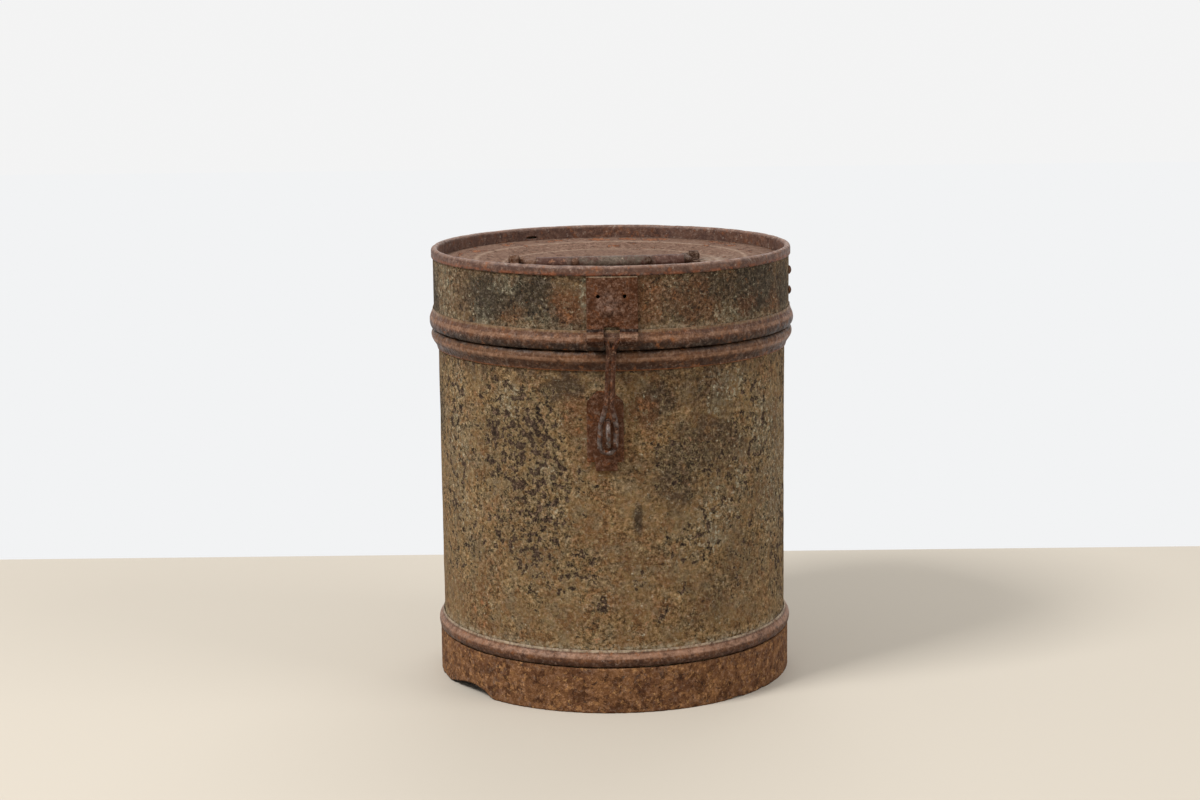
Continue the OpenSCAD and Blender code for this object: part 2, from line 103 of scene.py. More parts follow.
def add(tree, kind, inputs=None, **settings):
    """Adds a node: its settings by name, then its inputs, each a value or what feeds it."""
    made = tree.nodes.new(kind)
    for name, value in settings.items():
        setattr(made, name, value)
    for name, value in (inputs or {}).items():
        plug(tree, value, made.inputs[name])
    return made


def linear(shade):
    """An sRGB hex colour such as "7c654b" as linear RGBA."""
    parts = [int(shade[i:i + 2], 16) / 255 for i in (0, 2, 4)]
    return [p / 12.92 if p <= 0.04045 else ((p + 0.055) / 1.055) ** 2.4 for p in parts] + [1]


scene = bpy.context.scene
scene.view_settings.view_transform = "Standard"

camera_data = bpy.data.cameras.new("camera")
camera_data.lens = 69.46
camera_data.sensor_width = 36
camera = bpy.data.objects.new("camera", camera_data)
scene.collection.objects.link(camera)
CAMERA_PLACE = (-0.00808, -1.5251, 0.4634)
CAMERA_TILT = math.radians(79.493)
CAMERA_ROLL = math.radians(-0.642)
camera.matrix_world = (Matrix.Translation(CAMERA_PLACE) @ Matrix.Rotation(CAMERA_TILT, 4, "X")
    @ Matrix.Rotation(CAMERA_ROLL, 4, "Z"))
scene.camera = camera

bpy.ops.object.select_all(action="DESELECT")
bpy.ops.mesh.primitive_plane_add(size=8)
table = bpy.context.object
table.name = "table"
table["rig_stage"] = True
table_paint = bpy.data.materials.new("pale_matt_table")
table_paint.use_nodes = True
tree = table_paint.node_tree
TABLE_EDGE = 0.295
ray = add(tree, "ShaderNodeLightPath")
place = add(tree, "ShaderNodeSeparateXYZ", {0: add(tree, "ShaderNodeTexCoord").outputs["Object"]})
beyond = add(tree, "ShaderNodeMath", {0: place.outputs["Y"], 1: TABLE_EDGE},
    operation="GREATER_THAN")
seen = add(tree, "ShaderNodeMath",
    {0: ray.outputs["Is Camera Ray"], 1: ray.outputs["Is Glossy Ray"]}, operation="MAXIMUM")
white = add(tree, "ShaderNodeMath", {0: beyond, 1: seen}, operation="MULTIPLY")
wall_glow = add(tree, "ShaderNodeEmission", {"Color": linear("f2f3f4")})
matt = tree.nodes["Principled BSDF"]
plug(tree, linear("beb5a7"), matt.inputs["Base Color"])
plug(tree, 0.8, matt.inputs["Roughness"])
plain = add(tree, "ShaderNodeMixShader", {0: white, 1: matt, 2: wall_glow})
plug(tree, plain, tree.nodes["Material Output"].inputs["Surface"])
table.data.materials.append(table_paint)

world = bpy.data.worlds.new("studio")
world.use_nodes = True
scene.world = world
tree = world.node_tree
ray = add(tree, "ShaderNodeLightPath")
seen = add(tree, "ShaderNodeMath",
    {0: ray.outputs["Is Camera Ray"], 1: ray.outputs["Is Glossy Ray"]}, operation="MAXIMUM")
SKY_LIGHT = 0.47
SKY_SEEN = 0.9
glow = add(tree, "ShaderNodeMix", {0: seen, 2: SKY_LIGHT, 3: SKY_SEEN})
backdrop = tree.nodes["Background"]
plug(tree, (1, 1, 1, 1), backdrop.inputs["Color"])
plug(tree, glow, backdrop.inputs["Strength"])

LAMPS = {  # place in metres, side of the square in metres, watts
    "key_lamp": ((-1.4, -1.0, 2.1), 0.7, 63),
    "side_lamp": ((1.6, -0.7, 1.3), 1.0, 15),
    "back_lamp": ((0.3, 1.5, 1.8), 1.4, 15),
}
for name, (spot, side, watts) in LAMPS.items():
    light = bpy.data.lights.new(name, "AREA")
    light.size = side
    light.energy = watts
    lamp = bpy.data.objects.new(name, light)
    lamp.location = spot
    lamp.rotation_euler = (-lamp.location).to_track_quat("-Z", "Y").to_euler()
    scene.collection.objects.link(lamp)


# Barrel wall. One sheet of rolled iron, seamed up the back, that was painted olive and has
# weathered: the scale flakes off in dark ragged patches, most of all at the left of the front.
# The neck inside the lid and the inside of the wall belong to the same sheet.
MM = 0.001


def turned(name, outline, steps):
    """Draws a closed outline of (radius, height) beside the axis and spins it round."""
    bpy.ops.object.select_all(action="DESELECT")
    bpy.ops.mesh.primitive_plane_add(size=MM)
    piece = bpy.context.object
    piece.name = name
    bpy.ops.object.mode_set(mode="EDIT")
    bpy.ops.mesh.merge(type="CENTER")
    bpy.ops.transform.translate(value=(outline[0][0], 0, outline[0][1]))
    for here, there in zip(outline, outline[1:] + outline[:1]):
        step = (there[0] - here[0], 0, there[1] - here[1])
        bpy.ops.mesh.extrude_vertices_move(TRANSFORM_OT_translate={"value": step})
    bpy.ops.mesh.select_all(action="SELECT")
    bpy.ops.mesh.remove_doubles(threshold=1e-6)
    bpy.ops.mesh.spin(steps=steps, angle=2 * math.pi, center=(0, 0, 0), axis=(0, 0, 1))
    bpy.ops.mesh.select_all(action="SELECT")
    bpy.ops.mesh.remove_doubles(threshold=2e-6)
    bpy.ops.mesh.normals_make_consistent(inside=False)
    bpy.ops.object.mode_set(mode="OBJECT")
    return piece


def stepped(corners, spacing):
    """The same outline with points added, spacing metres apart, on its long straight runs."""
    points = []
    for here, there, gap in zip(corners, corners[1:] + corners[:1], spacing):
        parts = max(1, round(math.dist(here, there) / gap))
        points += [tuple(a + (b - a) * i / parts for a, b in zip(here, there))
            for i in range(parts)]
    return points


def marked(piece, name, spots, radius):
    """Weighs each point of the mesh by how near it is to spots on the wall: side in degrees
    from the front, height, reach (all mm), strength, and how much taller than wide."""
    points = np.zeros(len(piece.data.vertices) * 3)
    piece.data.vertices.foreach_get("co", points)
    points = points.reshape(-1, 3) / MM
    wander = ((16, 9), (5, 5))  # so that no spot is round: mm between its bends, mm it bends by
    drift = sum(np.array([sway * noise.noise_vector(Vector(p) / size) for p in points])
        for size, sway in wander)
    weight = np.zeros(len(points))
    for side, height, reach, strength, tall in spots:
        turn = math.radians(side)
        away = points - [radius * math.sin(turn), -radius * math.cos(turn), height]
        away += drift * min(1, reach / 30)
        away[:, 2] /= tall
        near = np.clip(1.6 - 1.6 * np.linalg.norm(away, axis=1) / reach, 0, 1)
        weight = np.maximum(weight, strength * near * near * (3 - 2 * near))
    layer = piece.data.attributes.new(name, "FLOAT", "POINT")
    layer.data.foreach_set("value", weight.astype(np.float32))


def patches(tree, mm, size, low, high, plus=None, share=0.3, detail=6, ragged=0.6):
    """Ragged islands of about size mm: 0 where the noise is under low, 1 where it is over high.
    plus is a weight that makes them denser."""
    level = add(tree, "ShaderNodeTexNoise",
        {"Vector": mm, "Scale": 1 / size, "Detail": detail, "Roughness": ragged})
    if plus is not None:
        level = add(tree, "ShaderNodeMath", {0: plus, 1: share, 2: level}, operation="MULTIPLY_ADD")
    return add(tree, "ShaderNodeMapRange", {"Value": level, "From Min": low, "From Max": high},
        interpolation_type="SMOOTHSTEP")


def weathered(piece, relief):
    """Moves the surface along its normals. Relief lists the weights that vary over the surface,
    each with how far out it moves the surface, in mm."""
    tree = bpy.data.node_groups.new(piece.name + "_relief", "GeometryNodeTree")
    tree.interface.new_socket("Geometry", in_out="INPUT", socket_type="NodeSocketGeometry")
    tree.interface.new_socket("Geometry", in_out="OUTPUT", socket_type="NodeSocketGeometry")
    inlet = add(tree, "NodeGroupInput")
    mm = add(tree, "ShaderNodeVectorMath",
        {0: add(tree, "GeometryNodeInputPosition"), 1: (1 / MM,) * 3}, operation="MULTIPLY")
    depth = 0.0
    for weight, out_mm in relief(tree, mm):
        depth = add(tree, "ShaderNodeMath", {0: weight, 1: out_mm * MM, 2: depth},
            operation="MULTIPLY_ADD")
    push = add(tree, "ShaderNodeVectorMath",
        {0: add(tree, "GeometryNodeInputNormal"), "Scale": depth}, operation="SCALE")
    moved = add(tree, "GeometryNodeSetPosition", {"Geometry": inlet, "Offset": push})
    add(tree, "NodeGroupOutput", {0: moved})
    bpy.ops.object.select_all(action="DESELECT")
    piece.select_set(True)
    bpy.context.view_layer.objects.active = piece
    piece.modifiers.new("relief", "NODES").node_group = tree
    bpy.ops.object.modifier_apply(modifier="relief")
    bpy.ops.object.shade_smooth()


def surface(name):
    """A new material, its nodes, and the place on the piece in millimetres."""
    material = bpy.data.materials.new(name)
    material.use_nodes = True
    tree = material.node_tree
    place = add(tree, "ShaderNodeTexCoord").outputs["Object"]
    mm = add(tree, "ShaderNodeVectorMath", {0: place, 1: (1 / MM,) * 3}, operation="MULTIPLY")
    return material, tree, mm


def layered(tree, ground, coats):
    """Lays coats over a ground colour. Each coat is one or more weights, taken times one another,
    and last its sRGB colour."""
    colour = linear(ground) if isinstance(ground, str) else ground
    for *weights, shade in coats:
        cover = weights[0]
        for weight in weights[1:]:
            cover = add(tree, "ShaderNodeMath", {0: cover, 1: weight}, operation="MULTIPLY")
        colour = add(tree, "ShaderNodeMix", {0: cover, 6: colour, 7: linear(shade)},
            data_type="RGBA").outputs[2]
    return colour


def grained(tree, mm, colour, size, low, high):
    """Varies the colour's lightness in fine grain of size mm, from low to high times as light,
    strong in some places and faint in others. The lightest grains are dusty too."""
    grain = add(tree, "ShaderNodeTexNoise",
        {"Vector": mm, "Scale": 1 / size, "Detail": 5, "Roughness": 0.85})
    level = add(tree, "ShaderNodeMapRange",
        {"Value": grain, "From Min": 0.36, "From Max": 0.64, "To Min": low, "To Max": high})
    calm = patches(tree, mm, 23, 0.44, 0.6, detail=4)
    calm = add(tree, "ShaderNodeMath", {0: calm, 1: 0.65}, operation="MULTIPLY")
    level = add(tree, "ShaderNodeMix", {0: calm, 2: level, 3: (low + high) / 2})
    shaded = add(tree, "ShaderNodeMix", {0: 1.0, 6: colour, 7: level.outputs[0]},
        data_type="RGBA", blend_type="MULTIPLY").outputs[2]
    dust = add(tree, "ShaderNodeMapRange",
        {"Value": grain, "From Min": 0.5, "From Max": 0.68, "To Max": 0.16 * high})
    return layered(tree, shaded, [(dust, "a3978a")])


def finish(tree, colour, roughness, height, depth, metallic=0.0, gleam=0.18):
    """Ends a material: colour, roughness and a bump of depth mm from height. Porous rust gleams
    less than solid paint or metal does."""
    bump = add(tree, "ShaderNodeBump", {"Height": height, "Distance": depth * MM, "Strength": 1.0})
    shader = tree.nodes["Principled BSDF"]
    for name, value in (("Base Color", colour), ("Roughness", roughness), ("Metallic", metallic),
            ("Specular IOR Level", gleam), ("Normal", bump)):
        plug(tree, value, shader.inputs[name])


def installed(piece, body, slot, material, *nodes):
    """Gives a piece its material and body, in place of its plain nodes."""
    piece.data.materials.clear()
    piece.data.materials.append(material)
    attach(piece, body)
    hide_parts(*nodes)


wall_low, wall_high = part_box("body_shell")
wall_r = wall_high.x
SHEET = 1.0 * MM
base_hoop_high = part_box("base_hoop")[1]
body_hoop_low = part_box("body_hoop")[0]
seen_low = base_hoop_high.z - 3 * MM
seen_high = body_hoop_low.z + 3 * MM
barrel_wall = turned("barrel_wall", stepped([
    (wall_r, seen_low), (wall_r, seen_high), (wall_r, wall_high.z), (wall_r - SHEET, wall_high.z),
    (wall_r - SHEET, wall_low.z), (wall_r, wall_low.z)],
    [1.35 * MM, 4 * MM, SHEET, 16 * MM, SHEET, 8 * MM]), 540)

SEAM_SIDE = math.radians(150)
SEAM_HALF = 3.0 * MM
SEAM_OUT = 1.1 * MM
for vertex in barrel_wall.data.vertices:
    x, y, z = vertex.co
    across = x * math.cos(SEAM_SIDE) + y * math.sin(SEAM_SIDE)
    outward = x * math.sin(SEAM_SIDE) - y * math.cos(SEAM_SIDE)
    on_outside = outward > wall_r - SHEET / 2 and seen_low + 4 * MM < z < seen_high - 4 * MM
    if on_outside and abs(across) < SEAM_HALF:
        vertex.co.x += SEAM_OUT * math.sin(SEAM_SIDE)
        vertex.co.y -= SEAM_OUT * math.cos(SEAM_SIDE)

chance = random.Random(11)
noise.seed_set(11)  # or the clock picks how the spots bend, and each run bends them another way
OUT_OF_FRONT = (78, 285)  # degrees round from the front


def strewn(count, low, high, reach):
    """Spots at random round the sides and the back."""
    return [(chance.uniform(*OUT_OF_FRONT), chance.uniform(low, high), chance.uniform(*reach),
        chance.uniform(0.6, 1), chance.uniform(0.8, 1.6)) for _ in range(count)]


marked(barrel_wall, "worn", [
    (-33, 180, 50, 0.85, 1.0), (-26, 152, 44, 0.85, 1.2), (-30, 120, 42, 0.75, 1.2),
    (-20, 96, 38, 0.6, 1.0), (-46, 150, 46, 0.5, 1.8), (-9, 88, 26, 0.55, 0.7),
    (-66, 168, 50, 0.65, 1.8), (-60, 105, 44, 0.5, 1.4), (-64, 215, 26, 0.6, 1.0),
    (28, 112, 34, 0.55, 0.9), (38, 138, 40, 0.5, 1.2), (50, 108, 40, 0.45, 1.5),
    (20, 168, 28, 0.45, 1.0), (52, 176, 30, 0.6, 2.0), (-2, 190, 24, 0.4, 0.7),
    (8, 86, 8, 0.9, 1.0), (22, 79, 6, 1.0, 1.6), (-4, 69, 6, 1.0, 1.4), (16, 61, 5, 1.0, 1.4),
] + strewn(14, 60, 205, (20, 50)), wall_r / MM)
marked(barrel_wall, "stained", [
    (-17, 208, 22, 0.9, 0.7), (13, 200, 24, 0.9, 0.8), (33, 172, 34, 0.75, 1.0),
    (21, 155, 22, 0.8, 1.5), (30, 206, 30, 0.6, 0.6), (45, 93, 26, 0.45, 1.0),
    (30, 66, 30, 0.4, 0.8), (-33, 180, 40, 0.35, 1.0), (-26, 135, 40, 0.25, 1.3),
    (7.4, 126, 5, 1.0, 3.0), (-53, 99, 5, 0.9, 3.0), (60, 150, 40, 0.4, 1.5),
] + strewn(10, 70, 205, (20, 42)), wall_r / MM)
marked(barrel_wall, "chalky", [
    (-35, 198, 15, 1.0, 1.2), (-22, 156, 9, 1.0, 1.0), (40, 204, 24, 0.9, 0.8),
    (35, 122, 24, 0.8, 1.2), (26, 108, 18, 0.5, 1.0), (33, 116, 11, 1.0, 2.6),
    (45, 150, 10, 0.9, 3.0), (60, 120, 14, 0.7, 3.0), (-62, 165, 26, 0.7, 1.8),
    (-56, 120, 16, 0.6, 1.5), (57, 176, 22, 0.9, 1.6), (-19, 130, 12, 0.7, 1.0),
    (-60, 205, 14, 0.8, 2.0), (-2, 76, 10, 0.5, 1.0), (70, 140, 34, 0.8, 2.0),
] + strewn(9, 60, 205, (12, 26)), wall_r / MM)
marked(barrel_wall, "rusting", [
    (9, 192, 16, 0.9, 1.1), (-11, 192, 18, 0.8, 1.0), (-2.5, 172, 28, 0.6, 1.4),
    (-40, 122, 18, 0.5, 1.0), (4, 60, 34, 0.3, 0.8), (-52, 60, 30, 0.5, 1.0),
    (16, 62, 9, 0.9, 1.0), (58, 208, 18, 0.6, 1.0),
] + strewn(9, 50, 205, (14, 34)), wall_r / MM)


def scale_lost(tree, mm, worn):
    """Where the scale has flaked off the wall."""
    return patches(tree, mm, 5.0, 0.625, 0.65, plus=worn, share=0.15, detail=9, ragged=0.68)


def wall_relief(tree, mm):
    worn = add(tree, "GeometryNodeInputNamedAttribute", {"Name": "worn"}, data_type="FLOAT")
    pits = patches(tree, mm, 3.6, 0.5, 0.7)
    dents = patches(tree, mm, 46, 0.35, 0.7, detail=1)
    return [(scale_lost(tree, mm, worn), -0.5), (pits, -0.2), (dents, -0.35)]


weathered(barrel_wall, wall_relief)

# Weathered paint over rolled sheet iron: matt olive tan, mottled at every size from a finger's
# width to a grain, with dark brown where the scale is off and a pale rim round that, a painted
# highlight on the lifted scale's edge. Towards the body hoop the wall is darker: grime, and
# painted shade under the hoop.
sheet_iron, tree, mm = surface("weathered_painted_sheet_iron")
worn, stained, chalky, rusting = [add(tree, "ShaderNodeAttribute", attribute_name=name).outputs["Fac"]
    for name in ("worn", "stained", "chalky", "rusting")]
height_mm = add(tree, "ShaderNodeSeparateXYZ", {0: mm}).outputs["Z"]
lost = scale_lost(tree, mm, worn)
# The pale rim round each flake is a painted highlight on the lifted edge of the scale.
loose = patches(tree, mm, 5.0, 0.585, 0.615, plus=worn, share=0.15, detail=9, ragged=0.68)
lost_edge_highlight = add(tree, "ShaderNodeMath", {0: loose, 1: lost}, operation="SUBTRACT")
DUST_TALL = 4.5
# Towards the body hoop the wall darkens over this many mm: grime, and painted shade under the hoop.
GRIME_AND_SHADE_TALL = 16
dusty = add(tree, "ShaderNodeMapRange", {"Value": height_mm,
    "From Min": base_hoop_high.z / MM + DUST_TALL, "From Max": base_hoop_high.z / MM})
grime_and_shade_below_hoop = add(tree, "ShaderNodeMapRange", {"Value": height_mm,
    "From Min": body_hoop_low.z / MM - GRIME_AND_SHADE_TALL, "From Max": body_hoop_low.z / MM})
neck = add(tree, "ShaderNodeMapRange", {"Value": height_mm, "From Min": seen_high / MM,
    "From Max": seen_high / MM + 1})
colour = layered(tree, "886a43", [
    (patches(tree, mm, 24, 0.46, 0.6, detail=4), 0.6, "8a6c48"),
    (patches(tree, mm, 31, 0.5, 0.64, detail=5), 0.5, "624c35"),
    (patches(tree, mm, 18, 0.5, 0.6), 0.55, "744d2b"),
    (patches(tree, mm, 14, 0.54, 0.64), 0.4, "756b55"),
    (patches(tree, mm, 9.5, 0.48, 0.62, detail=3), 0.5, "6f4927"),
    (patches(tree, mm, 8.1, 0.5, 0.62, detail=3), 0.4, "7a7058"),
    (patches(tree, mm, 6.6, 0.5, 0.64, detail=4), 0.45, "523c22"),
    (patches(tree, mm, 2.2, 0.44, 0.6, detail=4, ragged=0.8), 0.55, "45331e"),
    (patches(tree, mm, 3.3, 0.54, 0.62, ragged=0.75), 0.65, "9a8259"),
    (patches(tree, mm, 4.1, 0.49, 0.58, plus=stained, share=0.13, detail=8, ragged=0.78),
        stained, 0.85, "33261a"),
    (stained, 0.2, "3f3020"),
    (patches(tree, mm, 6.0, 0.47, 0.58, plus=rusting, share=0.1, ragged=0.75), rusting, 0.6,
        "653e20"),
    (patches(tree, mm, 4.6, 0.64, 0.69, plus=rusting, share=0.08, ragged=0.7), 0.7, "80502a"),
    (patches(tree, mm, 5.5, 0.46, 0.58, ragged=0.75), chalky, 0.45, "7b7664"),
    (patches(tree, mm, 3.1, 0.61, 0.65, plus=chalky, share=0.075, ragged=0.78), 0.8, "aaa28a"),
    (patches(tree, mm, 2.9, 0.62, 0.66, ragged=0.78), 0.85, "2c1e11"),
    (patches(tree, mm, 2.5, 0.61, 0.65, plus=worn, share=0.05, ragged=0.75), 0.75, "a8926b"),
    # pale rim round each flake: painted highlight
    (lost_edge_highlight, 0.6, "a08b64"),
    (lost, 0.9, "33231a"),
    (patches(tree, mm, 2.3, 0.52, 0.6, ragged=0.75), lost, 0.65, "5b4029"),
    # under the body hoop: grime and painted shade
    (patches(tree, mm, 6.1, 0.4, 0.6, ragged=0.75), grime_and_shade_below_hoop, 0.85, "38271a"),
    (patches(tree, mm, 3.1, 0.42, 0.6, ragged=0.7), dusty, 0.85, "a3957b"),
    (neck, 0.7, "4d3829"),
])
colour = grained(tree, mm, colour, 2.3, 0.02, 1.9)
height = add(tree, "ShaderNodeMath",
    {0: patches(tree, mm, 2.4, 0.3, 0.7, detail=5, ragged=0.75), 1: lost}, operation="SUBTRACT")
finish(tree, colour, 0.86, height, 0.42)
installed(barrel_wall, "barrel", "painted_sheet", sheet_iron, "body_shell")


# Hoops. Half-round iron, rolled to a ring and sweated on: one round the barrel's mouth with its
# crest high, one over the joint of wall and foot, and one on the lid's lower edge. Their dark
# red-brown oxide has a soft sheen, with painted highlights along the crests and painted shade on
# the lower sides and in the joint between the barrel's hoop and the lid's.
def half_round(node, wall, crest_low):
    """Outline of a hoop, flat inside, with its round shoulder below the crest or above it."""
    low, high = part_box(node)
    tall = high.z - low.z
    edge = 0.8 * MM
    shoulder = 4.6 * MM
    swell = high.x - wall - edge
    arc = [math.radians(a) for a in range(0, 91, 9)]
    flare = [i / 14 for i in range(1, 15)]
    side = ([(wall + edge + swell * math.sin(a), shoulder * (1 - math.cos(a))) for a in arc]
        + [(wall + edge + swell * (1 + math.cos(math.pi * f)) / 2,
            shoulder + (tall - shoulder) * f) for f in flare])
    outline = [(wall, 0)] + side + [(wall, tall)]
    return [(r, low.z + z if crest_low else high.z - z) for r, z in outline]


def hoop_relief(tree, mm):
    pits = patches(tree, mm, 4.0, 0.52, 0.7)
    dents = patches(tree, mm, 21, 0.4, 0.7, detail=2)
    return [(pits, -0.22), (dents, -0.3)]


HOOP_SEAT = 0.15 * MM

# Hot-rolled iron under old oxide: purple-brown, less rough in patches, rust in the pits. The crests
# carry painted highlights, and the lower sides and the joint under the lid's hoop painted shade.
hoop_oxide, tree, mm = surface("oxide_and_painted_light_on_half_round_iron")
height_mm = add(tree, "ShaderNodeSeparateXYZ", {0: mm}).outputs["Z"]
colour = layered(tree, "533420", [
    (patches(tree, mm, 27, 0.44, 0.6), 0.6, "603d27"),
    (patches(tree, mm, 17, 0.5, 0.62), 0.55, "442719"),
    (patches(tree, mm, 11, 0.52, 0.62, ragged=0.7), 0.6, "704522"),
    (patches(tree, mm, 4.1, 0.5, 0.62, ragged=0.75), 0.65, "381f12"),
])
# Bands by height on each hoop. Painted shade: the near-black band at the body hoop's top edge, which also
# darkens the foot of the lid hoop in the joint, and the dark band lowest on each hoop. Painted highlights:
# the pale bands 5.6, 5.4 and 3.7 mm under the tops, on the crests. The others are the hoops' own colour:
# brown rust on the body hoop's shoulder, orange rust at its lower edge, and dust along the tops of the lid
# and base hoops.
HOOP_BANDS_OF_PAINTED_LIGHT_RUST_AND_DUST = [  # hoop, middle below its top, half-height, weight, size of its patches (mm) and shade
    ("body_hoop", 1.7, 2.4, 0.85, 3.0, "5b3c22"), ("body_hoop", -0.4, 2.8, 0.95, 9.0, "1c0e05"),
    ("body_hoop", 5.6, 1.3, 0.8, 6.0, "86634b"), ("body_hoop", 10.8, 3.4, 0.85, 9.0, "2b1407"),
    ("body_hoop", 13.2, 0.9, 0.85, 7.0, "7f4518"), ("lid_hoop", 0.0, 1.8, 0.75, 3.0, "7d6549"),
    ("lid_hoop", 5.4, 1.3, 0.75, 6.0, "7f5c44"), ("lid_hoop", 10.6, 3.4, 0.95, 9.0, "200f05"),
    ("base_hoop", 0.1, 1.4, 0.85, 3.0, "a4937b"), ("base_hoop", 3.7, 1.7, 0.8, 6.0, "906c55"),
    ("base_hoop", 9.5, 2.4, 0.8, 9.0, "341c10"),
]
# Lays each band on the hoops: painted highlights, painted shade, rust and dust, as listed above.
for node, below, half, weight, size, shade in HOOP_BANDS_OF_PAINTED_LIGHT_RUST_AND_DUST:
    above = add(tree, "ShaderNodeMath", {0: height_mm, 1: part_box(node)[1].z / MM - below},
        operation="SUBTRACT")
    away = add(tree, "ShaderNodeMath", {0: above}, operation="ABSOLUTE")
    band = add(tree, "ShaderNodeMapRange", {"Value": away, "From Min": half * 1.25,
        "From Max": half * 0.5, "To Max": weight}, interpolation_type="SMOOTHSTEP")
    colour = layered(tree, colour, [
        (band, patches(tree, mm, size, 0.28, 0.6, ragged=0.7), shade)])
colour = layered(tree, colour, [
    (patches(tree, mm, 5.3, 0.58, 0.66, ragged=0.7), 0.7, "7c4822"),
    (patches(tree, mm, 2.8, 0.61, 0.66, ragged=0.75), 0.55, "9a8172"),
    (patches(tree, mm, 2.2, 0.61, 0.66, ragged=0.75), 0.6, "26150c"),
])
colour = grained(tree, mm, colour, 3.2, 0.5, 1.5)
sheen = patches(tree, mm, 3.7, 0.4, 0.66, ragged=0.7)
rubbed = add(tree, "ShaderNodeMapRange", {"Value": sheen, "To Min": 0.4, "To Max": 0.7})
finish(tree, colour, rubbed, patches(tree, mm, 2.0, 0.3, 0.7, detail=4), 0.2, gleam=0.2)

for node, wall, crest_low, body in (
        ("body_hoop", wall_r + HOOP_SEAT, False, "barrel"),
        ("base_hoop", wall_r + HOOP_SEAT, True, "barrel"),
        ("lid_hoop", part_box("lid_skirt")[1].x + HOOP_SEAT, True, "lid")):
    hoop = turned(node + "_iron", half_round(node, wall, crest_low), 620)
    weathered(hoop, hoop_relief)
    installed(hoop, body, "hoop_iron", hoop_oxide, node)


# Foot. A band of heavier iron that carries the barrel. It stands in the wet, so it is the most
# eaten: coarse orange-brown rust, a ragged lower edge with a bite out of it at the left, and
# three pinholes beside the bite.
foot_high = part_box("foot_band")[1]
foot_r = foot_high.x
foot_in_r = wall_r + HOOP_SEAT
foot_h = foot_high.z
FOOT_STEP = 1.2 * MM
foot = turned("foot_band_iron", stepped([
    (foot_in_r, 0), (foot_r, 0), (foot_r, foot_h), (foot_in_r, foot_h)],
    [FOOT_STEP / 2, FOOT_STEP, FOOT_STEP, 2 * FOOT_STEP]), 620)

BITE_SIDE = math.radians(-57)
BITE = [  # along the edge from the bite's middle, and up, mm
    (-40, 0), (-38, 1.6), (-30, 0.8), (-23, 0.7), (-15, 2.4), (-6, 4.6), (0, 5.8), (9, 6.5),
    (17, 5.6), (22, 4.4), (26, 2.0), (31, 0),
]
PAST_BITE = 99
nibble_places = np.linspace(-180, 180, 150)
nibbles = np.array([max(0, chance.gauss(-0.15, 0.4)) for _ in nibble_places])
nibbles[-1] = nibbles[0]
for vertex in foot.data.vertices:
    x, y, z = vertex.co
    side = math.atan2(x, -y)
    along = foot_r * math.sin(side - BITE_SIDE) / MM
    if math.cos(side - BITE_SIDE) <= 0:
        along = PAST_BITE
    bitten = float(np.interp(along, [p[0] for p in BITE], [p[1] for p in BITE]))
    eaten = (bitten + float(np.interp(math.degrees(side), nibble_places, nibbles))) * MM
    vertex.co.z = eaten + z * (foot_h - eaten) / foot_h


DRILL_R = 117 * MM
DRILL_DEEP = 10 * MM


def bored(piece, holes):
    """Cuts holes through a wall: side in degrees, height and diameter in mm, and how many times
    as long as wide."""
    drills = []
    for side, height, width, longer in holes:
        bpy.ops.object.select_all(action="DESELECT")
        turn = math.radians(side)
        spot = (DRILL_R * math.sin(turn), -DRILL_R * math.cos(turn), height * MM)
        bpy.ops.mesh.primitive_cylinder_add(vertices=11, radius=width / 2 * MM, depth=DRILL_DEEP,
            location=spot, rotation=(math.pi / 2, 0, turn), scale=(longer, 1, 1))
        drills.append(bpy.context.object)
    for drill in drills:
        drill.select_set(True)
    bpy.ops.object.join()
    drill = bpy.context.object
    bpy.context.view_layer.objects.active = piece
    cut = piece.modifiers.new("holes", "BOOLEAN")
    cut.object = drill
    cut.solver = "EXACT"
    bpy.ops.object.modifier_apply(modifier="holes")
    bpy.data.objects.remove(drill)


def foot_relief(tree, mm):
    craters = patches(tree, mm, 5.2, 0.5, 0.68, detail=7)
    rough = patches(tree, mm, 2.4, 0.4, 0.7, detail=4)
    return [(craters, -0.45), (rough, -0.3)]


weathered(foot, foot_relief)
PINHOLES = [(-72, 4.4, 2.6, 1), (-70, 3.0, 1.9, 1), (-67.5, 2.6, 1.6, 1)]
bored(foot, PINHOLES)

# Deep rust on iron plate: dull and coarse, dark brown with tan-orange grains, no sheen at all.
foot_rust, tree, mm = surface("coarse_rust_on_iron_plate")
colour = layered(tree, "6c482c", [
    (patches(tree, mm, 22, 0.47, 0.58), 0.6, "553420"),
    (patches(tree, mm, 12, 0.5, 0.6, ragged=0.7), 0.7, "825a38"),
    (patches(tree, mm, 7.5, 0.5, 0.58, ragged=0.72), 0.75, "40230f"),
    (patches(tree, mm, 4.7, 0.54, 0.61, ragged=0.75), 0.8, "9a6e44"),
    (patches(tree, mm, 3.4, 0.59, 0.64, ragged=0.78), 0.85, "b08656"),
    (patches(tree, mm, 4.3, 0.57, 0.62, ragged=0.78), 0.85, "2a170c"),
])
colour = grained(tree, mm, colour, 3.2, 0.55, 1.45)
finish(tree, colour, 0.92, patches(tree, mm, 1.5, 0.3, 0.7, detail=4), 0.3)
installed(foot, "barrel", "foot_iron", foot_rust, "foot_band")
frame["nodes"]["base_plate"].data.materials.clear()
frame["nodes"]["base_plate"].data.materials.append(foot_rust)


